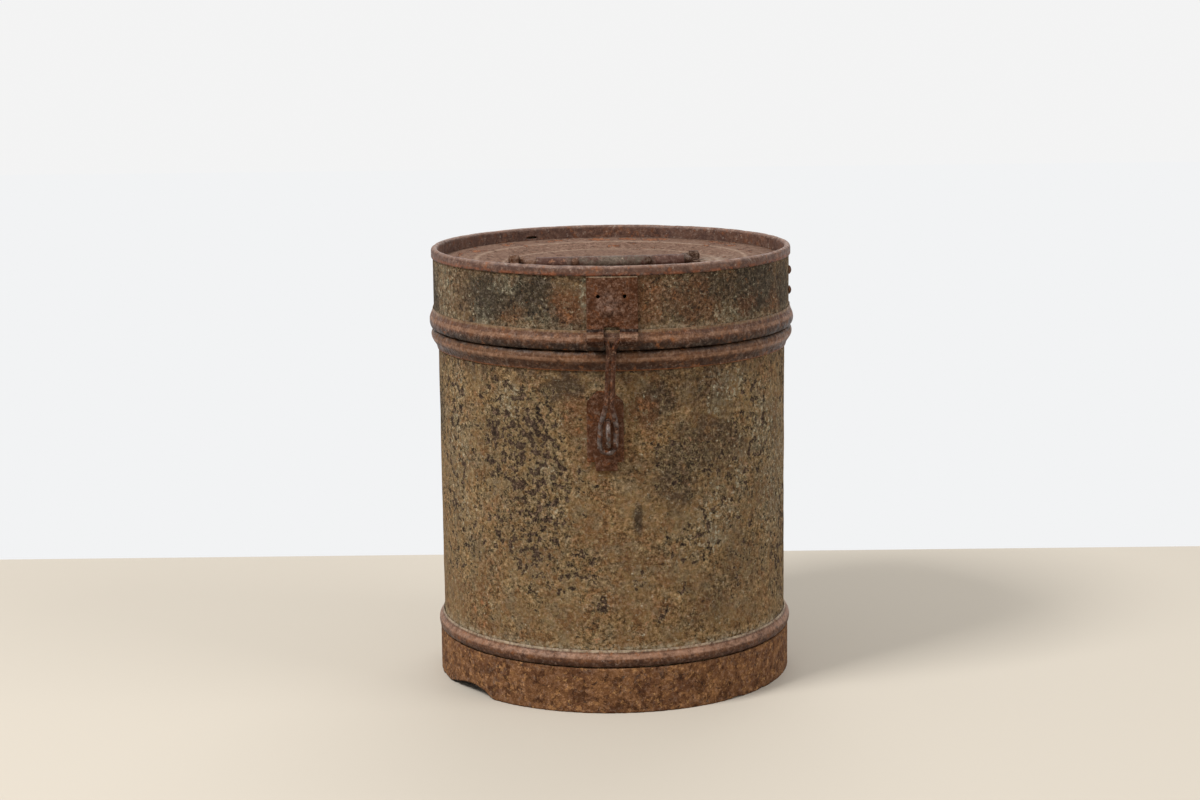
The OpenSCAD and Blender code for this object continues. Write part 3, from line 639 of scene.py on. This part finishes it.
# Lid wall. A second rolled sheet that slips over the barrel's neck, lapped and riveted at the
# right. It has kept more of its green-black paint than the barrel, with earth-brown patches.
skirt_low, skirt_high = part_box("lid_skirt")
skirt_r = skirt_high.x
lid_hoop_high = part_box("lid_hoop")[1]
skirt = turned("lid_wall", stepped([
    (skirt_r, lid_hoop_high.z - 2 * MM), (skirt_r, skirt_high.z), (skirt_r - SHEET, skirt_high.z),
    (skirt_r - SHEET, skirt_low.z), (skirt_r, skirt_low.z)],
    [1.15 * MM, SHEET, 3 * MM, SHEET, 4 * MM]), 640)
LAP_SIDE = math.radians(84)
LAP_HALF = 7 * MM
LAP_IN = 1 * MM
LAP_LOW = skirt_low.z + 3 * MM
LAP_TOP = 274 * MM
for vertex in skirt.data.vertices:
    x, y, z = vertex.co
    across = x * math.cos(LAP_SIDE) + y * math.sin(LAP_SIDE)
    outward = x * math.sin(LAP_SIDE) - y * math.cos(LAP_SIDE)
    inner = math.hypot(x, y) < skirt_r - SHEET / 2 and LAP_LOW < z < LAP_TOP
    if inner and outward > 0 and abs(across) < LAP_HALF:
        vertex.co.x -= LAP_IN * math.sin(LAP_SIDE)
        vertex.co.y += LAP_IN * math.cos(LAP_SIDE)

PLATE_EDGE_SIDE = math.degrees(math.asin((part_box("hasp_plate")[0].x - 1 * MM) / skirt_r))
marked(skirt, "worn", [
    (-25, 262, 26, 0.5, 0.7), (-50, 255, 22, 0.5, 0.8), (30, 262, 22, 0.35, 0.8),
    (62, 268, 20, 0.4, 1.0),
] + strewn(8, 250, 280, (14, 30)), skirt_r / MM)
marked(skirt, "stained", [
    (-42, 264, 34, 0.95, 0.8), (-26, 266, 26, 0.9, 0.9), (-16, 254, 22, 0.8, 0.7),
    (52, 266, 36, 0.9, 0.9), (34, 272, 26, 0.7, 0.6), (72, 262, 26, 0.8, 1.2),
    (22, 262, 22, 0.5, 1.0),
] + strewn(9, 246, 280, (20, 40)), skirt_r / MM)
marked(skirt, "chalky", [
    (-66, 270, 26, 0.9, 1.2), (-34, 272, 16, 0.9, 0.7), (-44, 252, 18, 0.7, 0.6),
    (38, 253, 20, 0.8, 0.7), (PLATE_EDGE_SIDE, 267, 3.5, 1.3, 5.0), (-24, 250, 14, 0.6, 0.6),
    (20, 277, 16, 0.5, 0.5),
] + strewn(8, 246, 280, (10, 22)), skirt_r / MM)
marked(skirt, "rusting", [
    (-13, 260, 18, 1.0, 1.0), (10, 266, 20, 0.85, 1.2), (26, 262, 26, 0.7, 0.9),
    (46, 257, 16, 0.7, 0.7), (-31, 252, 12, 0.5, 0.8), (62, 250, 18, 0.6, 0.8),
] + strewn(7, 246, 280, (14, 30)), skirt_r / MM)


def skirt_relief(tree, mm):
    worn = add(tree, "GeometryNodeInputNamedAttribute", {"Name": "worn"}, data_type="FLOAT")
    pits = patches(tree, mm, 3.4, 0.48, 0.7)
    return [(scale_lost(tree, mm, worn), -0.4), (pits, -0.25)]


weathered(skirt, skirt_relief)
NAIL_HOLES = [(-4.19, 266.9, 2.4, 1), (3.75, 266.9, 2.4, 1)]
bored(skirt, NAIL_HOLES)

# Old paint over rolled sheet iron: green-black to earth brown, matt, broken up by fine pale
# wrinkles of lifted paint and by rust that shows through.
lid_iron, tree, mm = surface("wrinkled_paint_on_sheet_iron")
worn, stained, chalky, rusting = [add(tree, "ShaderNodeAttribute", attribute_name=name).outputs["Fac"]
    for name in ("worn", "stained", "chalky", "rusting")]
height_mm = add(tree, "ShaderNodeSeparateXYZ", {0: mm}).outputs["Z"]
lost = scale_lost(tree, mm, worn)
dusty = add(tree, "ShaderNodeMapRange", {"Value": height_mm, "From Min": lid_hoop_high.z / MM + 4,
    "From Max": lid_hoop_high.z / MM})
wrinkle_noise = add(tree, "ShaderNodeTexNoise", {"Vector": mm, "Scale": 1 / 4.2, "Detail": 4})
WRINKLE_LEVEL = 0.53  # a wrinkle follows each line where the noise passes this
off_line = add(tree, "ShaderNodeMath", {0: wrinkle_noise, 1: WRINKLE_LEVEL}, operation="SUBTRACT")
off_line = add(tree, "ShaderNodeMath", {0: off_line}, operation="ABSOLUTE")
ridge = add(tree, "ShaderNodeMapRange", {"Value": off_line, "From Min": 0.012, "From Max": 0.002})
ridge = add(tree, "ShaderNodeMath", {0: ridge, 1: patches(tree, mm, 13, 0.5, 0.62)},
    operation="MULTIPLY")
colour = layered(tree, "694f35", [
    (patches(tree, mm, 19, 0.46, 0.6, detail=4), 0.6, "6d573c"),
    (patches(tree, mm, 8.6, 0.5, 0.6, ragged=0.7), 0.5, "63411f"),
    (patches(tree, mm, 6.7, 0.5, 0.6, ragged=0.7), 0.4, "615843"),
    (patches(tree, mm, 2.7, 0.44, 0.6, ragged=0.75), 0.55, "372818"),
    (patches(tree, mm, 3.5, 0.54, 0.62, ragged=0.75), 0.6, "8d7650"),
    (patches(tree, mm, 4.3, 0.46, 0.55, plus=stained, share=0.12, detail=8, ragged=0.78),
        stained, 0.9, "2a241a"),
    (stained, 0.15, "3a3022"),
    (patches(tree, mm, 5.7, 0.44, 0.55, plus=rusting, share=0.1, ragged=0.75), rusting, 0.72,
        "623b20"),
    (patches(tree, mm, 3.9, 0.6, 0.66, plus=rusting, share=0.05, ragged=0.72), 0.65, "80502b"),
    (patches(tree, mm, 5.2, 0.46, 0.58, ragged=0.75), chalky, 0.5, "7b7763"),
    (patches(tree, mm, 3.0, 0.59, 0.64, plus=chalky, share=0.06, ragged=0.78), 0.7, "a1987f"),
    (ridge, 0.65, "9b8662"),
    (patches(tree, mm, 2.8, 0.61, 0.65, ragged=0.78), 0.85, "20170f"),
    (lost, 0.85, "2c1f15"),
    (patches(tree, mm, 3.1, 0.42, 0.6, ragged=0.7), dusty, 0.75, "93836a"),
])
colour = grained(tree, mm, colour, 2.3, 0.02, 1.86)
height = add(tree, "ShaderNodeMath",
    {0: patches(tree, mm, 2.4, 0.3, 0.7, detail=5, ragged=0.75), 1: ridge}, operation="ADD")
finish(tree, colour, 0.84, height, 0.42)
installed(skirt, "lid", "painted_sheet", lid_iron, "lid_skirt")


# Rim of the lid. The edge of the pressed top is turned up and folded over the lid wall, which
# makes a round bead. Its dark oxide carries a painted highlight along the top of the bead, and
# rusts orange below it.
RIM_SHEET = 0.9 * MM
rim_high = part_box("lid_top")[1]
rim_r = rim_high.x
rim_top = rim_high.z
FOLD_R = 2.2 * MM
RIM_DOWN = 6.2 * MM
MARGIN_DROP = 8.7 * MM
fold_x = rim_r - FOLD_R
fold_z = rim_top - FOLD_R
margin_z = rim_top - MARGIN_DROP
turns = [math.radians(a) for a in range(0, 181, 10)]
outer = [(fold_x + FOLD_R * math.cos(a), fold_z + FOLD_R * math.sin(a)) for a in turns]
inner_bend = FOLD_R - RIM_SHEET
inner = [(fold_x + inner_bend * math.cos(a), fold_z + inner_bend * math.sin(a))
    for a in reversed(turns)]
rim_corners = ([(rim_r, rim_top - RIM_DOWN)] + outer + [(fold_x - FOLD_R, margin_z - RIM_SHEET),
    (fold_x - inner_bend, margin_z - RIM_SHEET)] + inner + [(rim_r - RIM_SHEET, rim_top - RIM_DOWN)])
rim = turned("lid_rim", stepped(rim_corners, [1 * MM] * len(rim_corners)), 620)


def rim_relief(tree, mm):
    pits = patches(tree, mm, 3.7, 0.54, 0.7)
    dents = patches(tree, mm, 17, 0.42, 0.7, detail=2)
    return [(pits, -0.2), (dents, -0.22)]


weathered(rim, rim_relief)
RIM_SLIT = (208.8, 278.8, 1.7, 5.4)
bored(rim, [RIM_SLIT])

# Folded sheet under thin oxide: purple-grey brown with a faint sheen, pale grains, orange below,
# and a painted highlight along the top of the bead.
rim_oxide, tree, mm = surface("thin_oxide_on_folded_sheet")
flat = add(tree, "ShaderNodeVectorMath", {0: mm, 1: (1, 1, 0)}, operation="MULTIPLY")
reach = add(tree, "ShaderNodeVectorMath", {0: flat}, operation="LENGTH").outputs["Value"]
outside = add(tree, "ShaderNodeMapRange",
    {"Value": reach, "From Min": rim_r / MM - 2, "From Max": rim_r / MM - 1})
height_mm = add(tree, "ShaderNodeSeparateXYZ", {0: mm}).outputs["Z"]
rim_foot = (rim_top - RIM_DOWN) / MM
low_edge = add(tree, "ShaderNodeMapRange",
    {"Value": height_mm, "From Min": rim_foot + 2.4, "From Max": rim_foot + 0.8})
low_edge = add(tree, "ShaderNodeMath", {0: low_edge, 1: outside}, operation="MULTIPLY")
# The top of the bead, which carries a painted highlight.
crest = add(tree, "ShaderNodeMapRange", {"Value": height_mm, "From Min": rim_top / MM - 1.6,
    "From Max": rim_top / MM - 0.6})
colour = layered(tree, "533526", [
    (patches(tree, mm, 25, 0.45, 0.6), 0.6, "5f4132"),
    (patches(tree, mm, 13, 0.5, 0.62), 0.65, "40251b"),
    (patches(tree, mm, 9, 0.54, 0.64, ragged=0.7), 0.6, "6f4020"),
    (patches(tree, mm, 3.9, 0.5, 0.62, ragged=0.75), 0.6, "371d12"),
    # painted highlight along the top of the bead
    (patches(tree, mm, 5, 0.34, 0.6, ragged=0.7), crest, 0.6, "866a5a"),
    (patches(tree, mm, 5.7, 0.58, 0.66, ragged=0.7), 0.7, "7d4621"),
    (patches(tree, mm, 2.8, 0.6, 0.65, ragged=0.75), 0.65, "a08f80"),
    (patches(tree, mm, 8.3, 0.36, 0.52), low_edge, 0.9, "733a16"),
    (patches(tree, mm, 5.9, 0.5, 0.58, ragged=0.7), low_edge, 0.85, "2a150b"),
])
colour = grained(tree, mm, colour, 3.0, 0.6, 1.4)
finish(tree, colour, add(tree, "ShaderNodeMapRange", {"Value": patches(tree, mm, 3.5, 0.4, 0.66),
    "To Min": 0.5, "To Max": 0.75}), patches(tree, mm, 1.5, 0.3, 0.7, detail=3), 0.1, gleam=0.4)
installed(rim, "lid", "hoop_iron", rim_oxide)


# Top of the lid. One pressed disc: a flat margin, a shallow slope and a sunken middle. Dust and
# fine rust lie on it, and scale lifts in blisters on the margin at the back.
DISH_DROP = 3.3 * MM
SLOPE_OUT_R = 89 * MM
SLOPE_IN_R = 71 * MM
dish_z = margin_z - DISH_DROP
disc_r = fold_x - FOLD_R
under = -RIM_SHEET
disc = turned("lid_disc", stepped([
    (0, dish_z), (SLOPE_IN_R, dish_z), (SLOPE_OUT_R, margin_z), (disc_r, margin_z),
    (disc_r, margin_z + under), (SLOPE_OUT_R, margin_z + under), (SLOPE_IN_R, dish_z + under),
    (0, dish_z + under)],
    [1.5 * MM, 1.5 * MM, 1.2 * MM, 1 * MM, 6 * MM, 6 * MM, 12 * MM, 1 * MM]), 560)
BLISTERS_R = 101
marked(disc, "blistered", [
    (184, 277, 11, 1.5, 1.0), (173.5, 277, 10, 1.5, 1.0), (163, 277, 9, 0.9, 1.0),
    (160, 277, 10, 0.8, 1.0), (205, 277, 14, 0.8, 1.0), (222, 277, 16, 0.7, 1.0),
    (130, 277, 20, 0.7, 1.0), (-60, 277, 18, 0.6, 1.0), (100, 277, 16, 0.6, 1.0),
    (250, 277, 16, 0.6, 1.0),
], BLISTERS_R)


def blistering(tree, mm, blistered):
    """Where the scale has blown off the margin in blisters."""
    return patches(tree, mm, 8.0, 0.66, 0.69, plus=blistered, share=0.2, detail=5)


def disc_relief(tree, mm):
    blistered = add(tree, "GeometryNodeInputNamedAttribute", {"Name": "blistered"}, data_type="FLOAT")
    pits = patches(tree, mm, 3.4, 0.5, 0.72)
    curled = patches(tree, mm, 8.0, 0.6, 0.65, plus=blistered, share=0.2, detail=5)
    return [(blistering(tree, mm, blistered), -0.45), (pits, -0.2), (curled, 0.35)]


weathered(disc, disc_relief)

# Pressed sheet under dust and fine rust: pinkish brown, dead matt, with pale rings of dust and
# painted highlight where the slope starts and ends, a dark ring of painted shade in the corner at
# the foot of the rim, and orange where a blister has come away.
dusty_top, tree, mm = surface("dusty_rust_on_pressed_sheet")
blistered = add(tree, "ShaderNodeAttribute", attribute_name="blistered").outputs["Fac"]
flat = add(tree, "ShaderNodeVectorMath", {0: mm, 1: (1, 1, 0)}, operation="MULTIPLY")
reach = add(tree, "ShaderNodeVectorMath", {0: flat}, operation="LENGTH").outputs["Value"]
# Rings round the middle: pale ones of dust and painted highlight at the slope's two bends, and a dark one
# of painted shade where the disc meets the rim.
rings = []
for radius, width in ((SLOPE_OUT_R / MM, 2.4), (SLOPE_IN_R / MM, 2.0), (disc_r / MM, 3.5)):
    past = add(tree, "ShaderNodeMath", {0: reach, 1: radius}, operation="SUBTRACT")
    away = add(tree, "ShaderNodeMath", {0: past}, operation="ABSOLUTE")
    rings.append(add(tree, "ShaderNodeMapRange", {"Value": away, "From Min": width, "From Max": 0.0},
        interpolation_type="SMOOTHSTEP"))
blown = blistering(tree, mm, blistered)
RIGHT_CLIP_FOOT = (62, 6, 274)
away = add(tree, "ShaderNodeVectorMath", {0: mm, 1: RIGHT_CLIP_FOOT}, operation="DISTANCE")
handle_dust = add(tree, "ShaderNodeMapRange", {"Value": away.outputs["Value"], "From Min": 26,
    "From Max": 4}, interpolation_type="SMOOTHSTEP")
colour = layered(tree, "644a3b", [
    (patches(tree, mm, 33, 0.44, 0.6), 0.6, "6b5142"),
    (patches(tree, mm, 14, 0.5, 0.64), 0.5, "593e30"),
    (patches(tree, mm, 3.4, 0.52, 0.64, ragged=0.7), 0.55, "493024"),
    (patches(tree, mm, 5.1, 0.58, 0.68, ragged=0.7), 0.5, "77472c"),
    (patches(tree, mm, 2.3, 0.58, 0.65, ragged=0.7), 0.55, "8f7765"),
    # pale rings: dust and painted highlight; the dark ring: painted shade at the rim's foot
    (rings[0], 0.62, "8e7765"),
    (rings[1], 0.62, "8d7664"),
    (rings[2], 0.5, "402a20"),
    (patches(tree, mm, 4.4, 0.36, 0.6), handle_dust, 0.5, "95897a"),
    (patches(tree, mm, 8.0, 0.61, 0.64, plus=blistered, share=0.2, detail=5), 0.75, "331c12"),
    (blown, 0.8, "84502f"),
    (patches(tree, mm, 3.7, 0.46, 0.58, ragged=0.7), blown, 0.75, "59331f"),
])
colour = grained(tree, mm, colour, 3.0, 0.58, 1.42)
finish(tree, colour, 0.93, patches(tree, mm, 1.6, 0.3, 0.7, detail=3), 0.14)
installed(disc, "lid", "lid_sheet", dusty_top, "lid_top")


# Fittings. Plates, hinge leaves, clips and rivets cut from iron strap. Their edges are rounded
# by rust, and all of them carry the same dark red-brown oxide.
def corroded(node, voxel, relief):
    """A copy of a node with its edges eaten round, its skin in cells of voxel mm, then pitted."""
    bpy.ops.object.select_all(action="DESELECT")
    piece = frame["nodes"][node].copy()
    piece.data = piece.data.copy()
    piece.name = node + "_iron"
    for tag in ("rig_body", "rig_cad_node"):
        if tag in piece:
            del piece[tag]
    piece.parent = None
    scene.collection.objects.link(piece)
    piece.select_set(True)
    bpy.context.view_layer.objects.active = piece
    bpy.ops.object.mode_set(mode="EDIT")
    bpy.ops.mesh.select_all(action="SELECT")
    bpy.ops.mesh.remove_doubles(threshold=1e-6)
    bpy.ops.object.mode_set(mode="OBJECT")
    skin = piece.modifiers.new("skin", "REMESH")
    skin.mode = "VOXEL"
    skin.voxel_size = voxel * MM
    bpy.ops.object.modifier_apply(modifier="skin")
    worn_edges = piece.modifiers.new("worn_edges", "SMOOTH")
    worn_edges.factor = 0.5
    worn_edges.iterations = 2
    bpy.ops.object.modifier_apply(modifier="worn_edges")
    weathered(piece, relief)
    return piece


def strap_relief(tree, mm):
    pits = patches(tree, mm, 2.6, 0.5, 0.68, detail=5)
    craters = patches(tree, mm, 6.2, 0.56, 0.68)
    return [(pits, -0.2), (craters, -0.15)]


# Iron strap under old oxide: dark red-brown, dull on the flats and a little smoother where it is
# rolled, with rust bleeding from the top edge and a rubbed paler patch over the rivet. The hasp
# plate's knuckles carry painted highlights and painted shade, its top edge a thin painted
# highlight, and the handle's parts at the right painted shade.
strap_oxide, tree, mm = surface("red_brown_oxide_on_iron_strap")
behaviour = frame["record"]["behaviour"]
hasp_joint = next(joint for joint in behaviour["joints"] if joint["name"] == "hasp_swing")
KNUCKLE_Z = hasp_joint["pos_m"][2] / MM
PLATE_TOP_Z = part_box("hasp_plate")[1].z / MM
FRONT_Y = -105.0  # the hasp plate and the staple plate lie in front of this
HANDLE_Y = -60.0  # the handle's parts lie behind this
TOP_Z = 273
RUBBED_SPOT = (-2, -119, 263)
across, depth_mm, height_mm = add(tree, "ShaderNodeSeparateXYZ", {0: mm}).outputs
in_front = add(tree, "ShaderNodeMath", {0: depth_mm, 1: FRONT_Y}, operation="LESS_THAN")
high_up = add(tree, "ShaderNodeMapRange",
    {"Value": height_mm, "From Min": TOP_Z, "From Max": TOP_Z + 2})
far_back = add(tree, "ShaderNodeMath", {0: depth_mm, 1: HANDLE_Y}, operation="GREATER_THAN")
on_top = add(tree, "ShaderNodeMath", {0: high_up, 1: far_back}, operation="MULTIPLY")
# The right-hand half of the handle's parts, which is painted in shade.
right_half_in_painted_shade = add(tree, "ShaderNodeMath", {0: across, 1: 0.0}, operation="GREATER_THAN")
away = add(tree, "ShaderNodeVectorMath", {0: mm, 1: RUBBED_SPOT}, operation="DISTANCE")
rubbed_spot = add(tree, "ShaderNodeMapRange", {"Value": away.outputs["Value"], "From Min": 11,
    "From Max": 2}, interpolation_type="SMOOTHSTEP")
colour = layered(tree, "4b2a15", [
    (patches(tree, mm, 12, 0.45, 0.6), 0.7, "553625"),
    (patches(tree, mm, 5.5, 0.48, 0.62, ragged=0.7), 0.6, "3b2010"),
    (patches(tree, mm, 3.1, 0.54, 0.64, ragged=0.7), 0.55, "684632"),
    (patches(tree, mm, 4.2, 0.55, 0.66, ragged=0.7), 0.7, "72401c"),
    (patches(tree, mm, 1.9, 0.62, 0.66, ragged=0.75), 0.6, "8c7461"),
    (patches(tree, mm, 2.2, 0.6, 0.65, ragged=0.75), 0.7, "24130a"),
    (patches(tree, mm, 2.9, 0.35, 0.6), rubbed_spot, 0.6, "786054"),
])
# Painted light on the hasp plate, by height: painted shade in the crease above the knuckles, a painted
# highlight on their top, painted shade on their lower side, and a painted highlight along the plate's top
# edge.
HASP_PAINTED_LIGHT_BANDS = [  # middle and half-height in mm, weight and shade
    (KNUCKLE_Z + 5.0, 1.0, 0.9, "1c0f08"), (KNUCKLE_Z + 2.6, 1.1, 0.6, "876a56"),
    (KNUCKLE_Z - 2.2, 1.8, 0.8, "25130b"), (PLATE_TOP_Z - 0.2, 0.5, 0.42, "97866d"),
]
for middle, half, weight, shade in HASP_PAINTED_LIGHT_BANDS:
    above = add(tree, "ShaderNodeMath", {0: height_mm, 1: middle}, operation="SUBTRACT")
    away = add(tree, "ShaderNodeMath", {0: above}, operation="ABSOLUTE")
    band = add(tree, "ShaderNodeMapRange", {"Value": away, "From Min": half * 1.2,
        "From Max": half * 0.6, "To Max": weight}, interpolation_type="SMOOTHSTEP")
    colour = layered(tree, colour, [(band, in_front, patches(tree, mm, 5, 0.2, 0.5), shade)])
colour = layered(tree, colour, [
    (patches(tree, mm, 3.0, 0.36, 0.6, ragged=0.7), on_top, 0.75, "6d5343"),
    # the handle's bail, saddle and rivets at the right: painted shade
    (on_top, right_half_in_painted_shade, 0.6, "24160e"),
])
colour = grained(tree, mm, colour, 2.4, 0.35, 1.65)
finish(tree, colour, add(tree, "ShaderNodeMapRange", {"Value": patches(tree, mm, 3.5, 0.4, 0.66),
    "To Min": 0.55, "To Max": 0.82}), patches(tree, mm, 1.8, 0.3, 0.7, detail=4), 0.25, gleam=0.1)
VOXELS = {  # cells of each piece's skin, mm
    "hasp_plate": 0.42, "staple_plate": 0.4, "hinge_body_leaf": 0.5, "hinge_lid_leaf": 0.5,
    "handle_saddle_left": 0.4, "handle_saddle_right": 0.4, "hinge_body_rivets": 0.35,
    "hinge_lid_rivets": 0.35, "lid_seam_rivets": 0.35, "hasp_rivet": 0.25,
    "staple_plate_rivet": 0.25, "handle_saddle_rivets": 0.3, "handle_bail": 0.5,
}
body_of = {node: body for body, members in behaviour["bodies"].items() for node in members}
for node, voxel in VOXELS.items():
    installed(corroded(node, voxel, strap_relief), body_of[node], "fitting_iron", strap_oxide, node)


# Hasp, staple and hinge pin. Round iron wire, bent by hand; the hasp's eye and the staple's bow
# have rubbed on one another, so bare blue-grey iron shows through the oxide there.
def wire_relief(tree, mm):
    return [(patches(tree, mm, 2.4, 0.52, 0.7, detail=5), -0.14)]


# Bright drawn iron wire gone brown: bare metal shows where parts have rubbed together.
worn_wire, tree, mm = surface("brown_iron_wire_rubbed_bright")
eye_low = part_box("hasp_loop")[0].z / MM
height_mm = add(tree, "ShaderNodeSeparateXYZ", {0: mm}).outputs["Z"]
near_eye = add(tree, "ShaderNodeMapRange", {"Value": height_mm, "From Min": eye_low + 34,
    "From Max": eye_low + 20})
bare = add(tree, "ShaderNodeMath", {0: patches(tree, mm, 3.6, 0.42, 0.62), 1: near_eye},
    operation="MULTIPLY")
half_bare = add(tree, "ShaderNodeMath", {0: bare, 1: 0.5}, operation="MULTIPLY")
colour = layered(tree, "3d1e0c", [
    (patches(tree, mm, 9, 0.45, 0.6), 0.6, "563828"),
    (patches(tree, mm, 3.2, 0.48, 0.62, ragged=0.75), 0.8, "2a150b"),
    (patches(tree, mm, 4.6, 0.54, 0.64, ragged=0.7), 0.65, "74401c"),
    (patches(tree, mm, 2.6, 0.6, 0.66, ragged=0.75), 0.75, "9c765c"),
    (bare, 0.7, "6f6864"),
])
colour = grained(tree, mm, colour, 2.2, 0.35, 1.65)
finish(tree, colour, add(tree, "ShaderNodeMapRange", {"Value": bare, "To Min": 0.5, "To Max": 0.34}),
    patches(tree, mm, 1.6, 0.3, 0.7, detail=4), 0.16, metallic=half_bare, gleam=0.12)
for node, voxel in {"hasp_loop": 0.3, "staple": 0.3, "hinge_pin": 0.35}.items():
    installed(corroded(node, voxel, wire_relief), body_of[node], "worn_wire", worn_wire, node)


# Grip of the handle. A sheet rolled into a tube round the wire and held by two rivets. The
# middle is rubbed grey-green, and the ends have kept their purple-brown oxide.
grip_sheet, tree, mm = surface("rubbed_oxide_on_rolled_sheet")
grip_low, grip_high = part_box("handle_grip")
across = add(tree, "ShaderNodeSeparateXYZ", {0: mm}).outputs["X"]
off_middle = add(tree, "ShaderNodeMath", {0: across, 1: (grip_low.x + grip_high.x) / 2 / MM},
    operation="SUBTRACT")
off_middle = add(tree, "ShaderNodeMath", {0: off_middle}, operation="ABSOLUTE")
middle = add(tree, "ShaderNodeMapRange", {"Value": off_middle, "From Min": 31, "From Max": 21})
colour = layered(tree, "4b3027", [
    (patches(tree, mm, 10, 0.45, 0.6), 0.6, "5d433a"),
    (patches(tree, mm, 3.4, 0.52, 0.64, ragged=0.7), 0.6, "43291f"),
    (patches(tree, mm, 5.2, 0.58, 0.68, ragged=0.7), 0.6, "83502c"),
    (patches(tree, mm, 6.4, 0.36, 0.56), middle, 0.75, "5a5044"),
    (patches(tree, mm, 2.1, 0.62, 0.67, ragged=0.7), 0.6, "9a8874"),
])
colour = grained(tree, mm, colour, 2.6, 0.65, 1.35)
finish(tree, colour, 0.6, patches(tree, mm, 1.2, 0.3, 0.7, detail=3), 0.12)
installed(corroded("handle_grip", 0.42, strap_relief), "handle", "grip_sheet", grip_sheet,
    "handle_grip")
installed(corroded("handle_grip_rivets", 0.3, wire_relief), "handle", "fitting_iron", strap_oxide,
    "handle_grip_rivets")

# The rim and the disc are one pressing, so both stand for its node.
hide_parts("lid_top")
bpy.context.view_layer.update()
size = {"cad": [list(corner) for corner in cad_box], "visual": [list(corner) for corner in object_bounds()]}
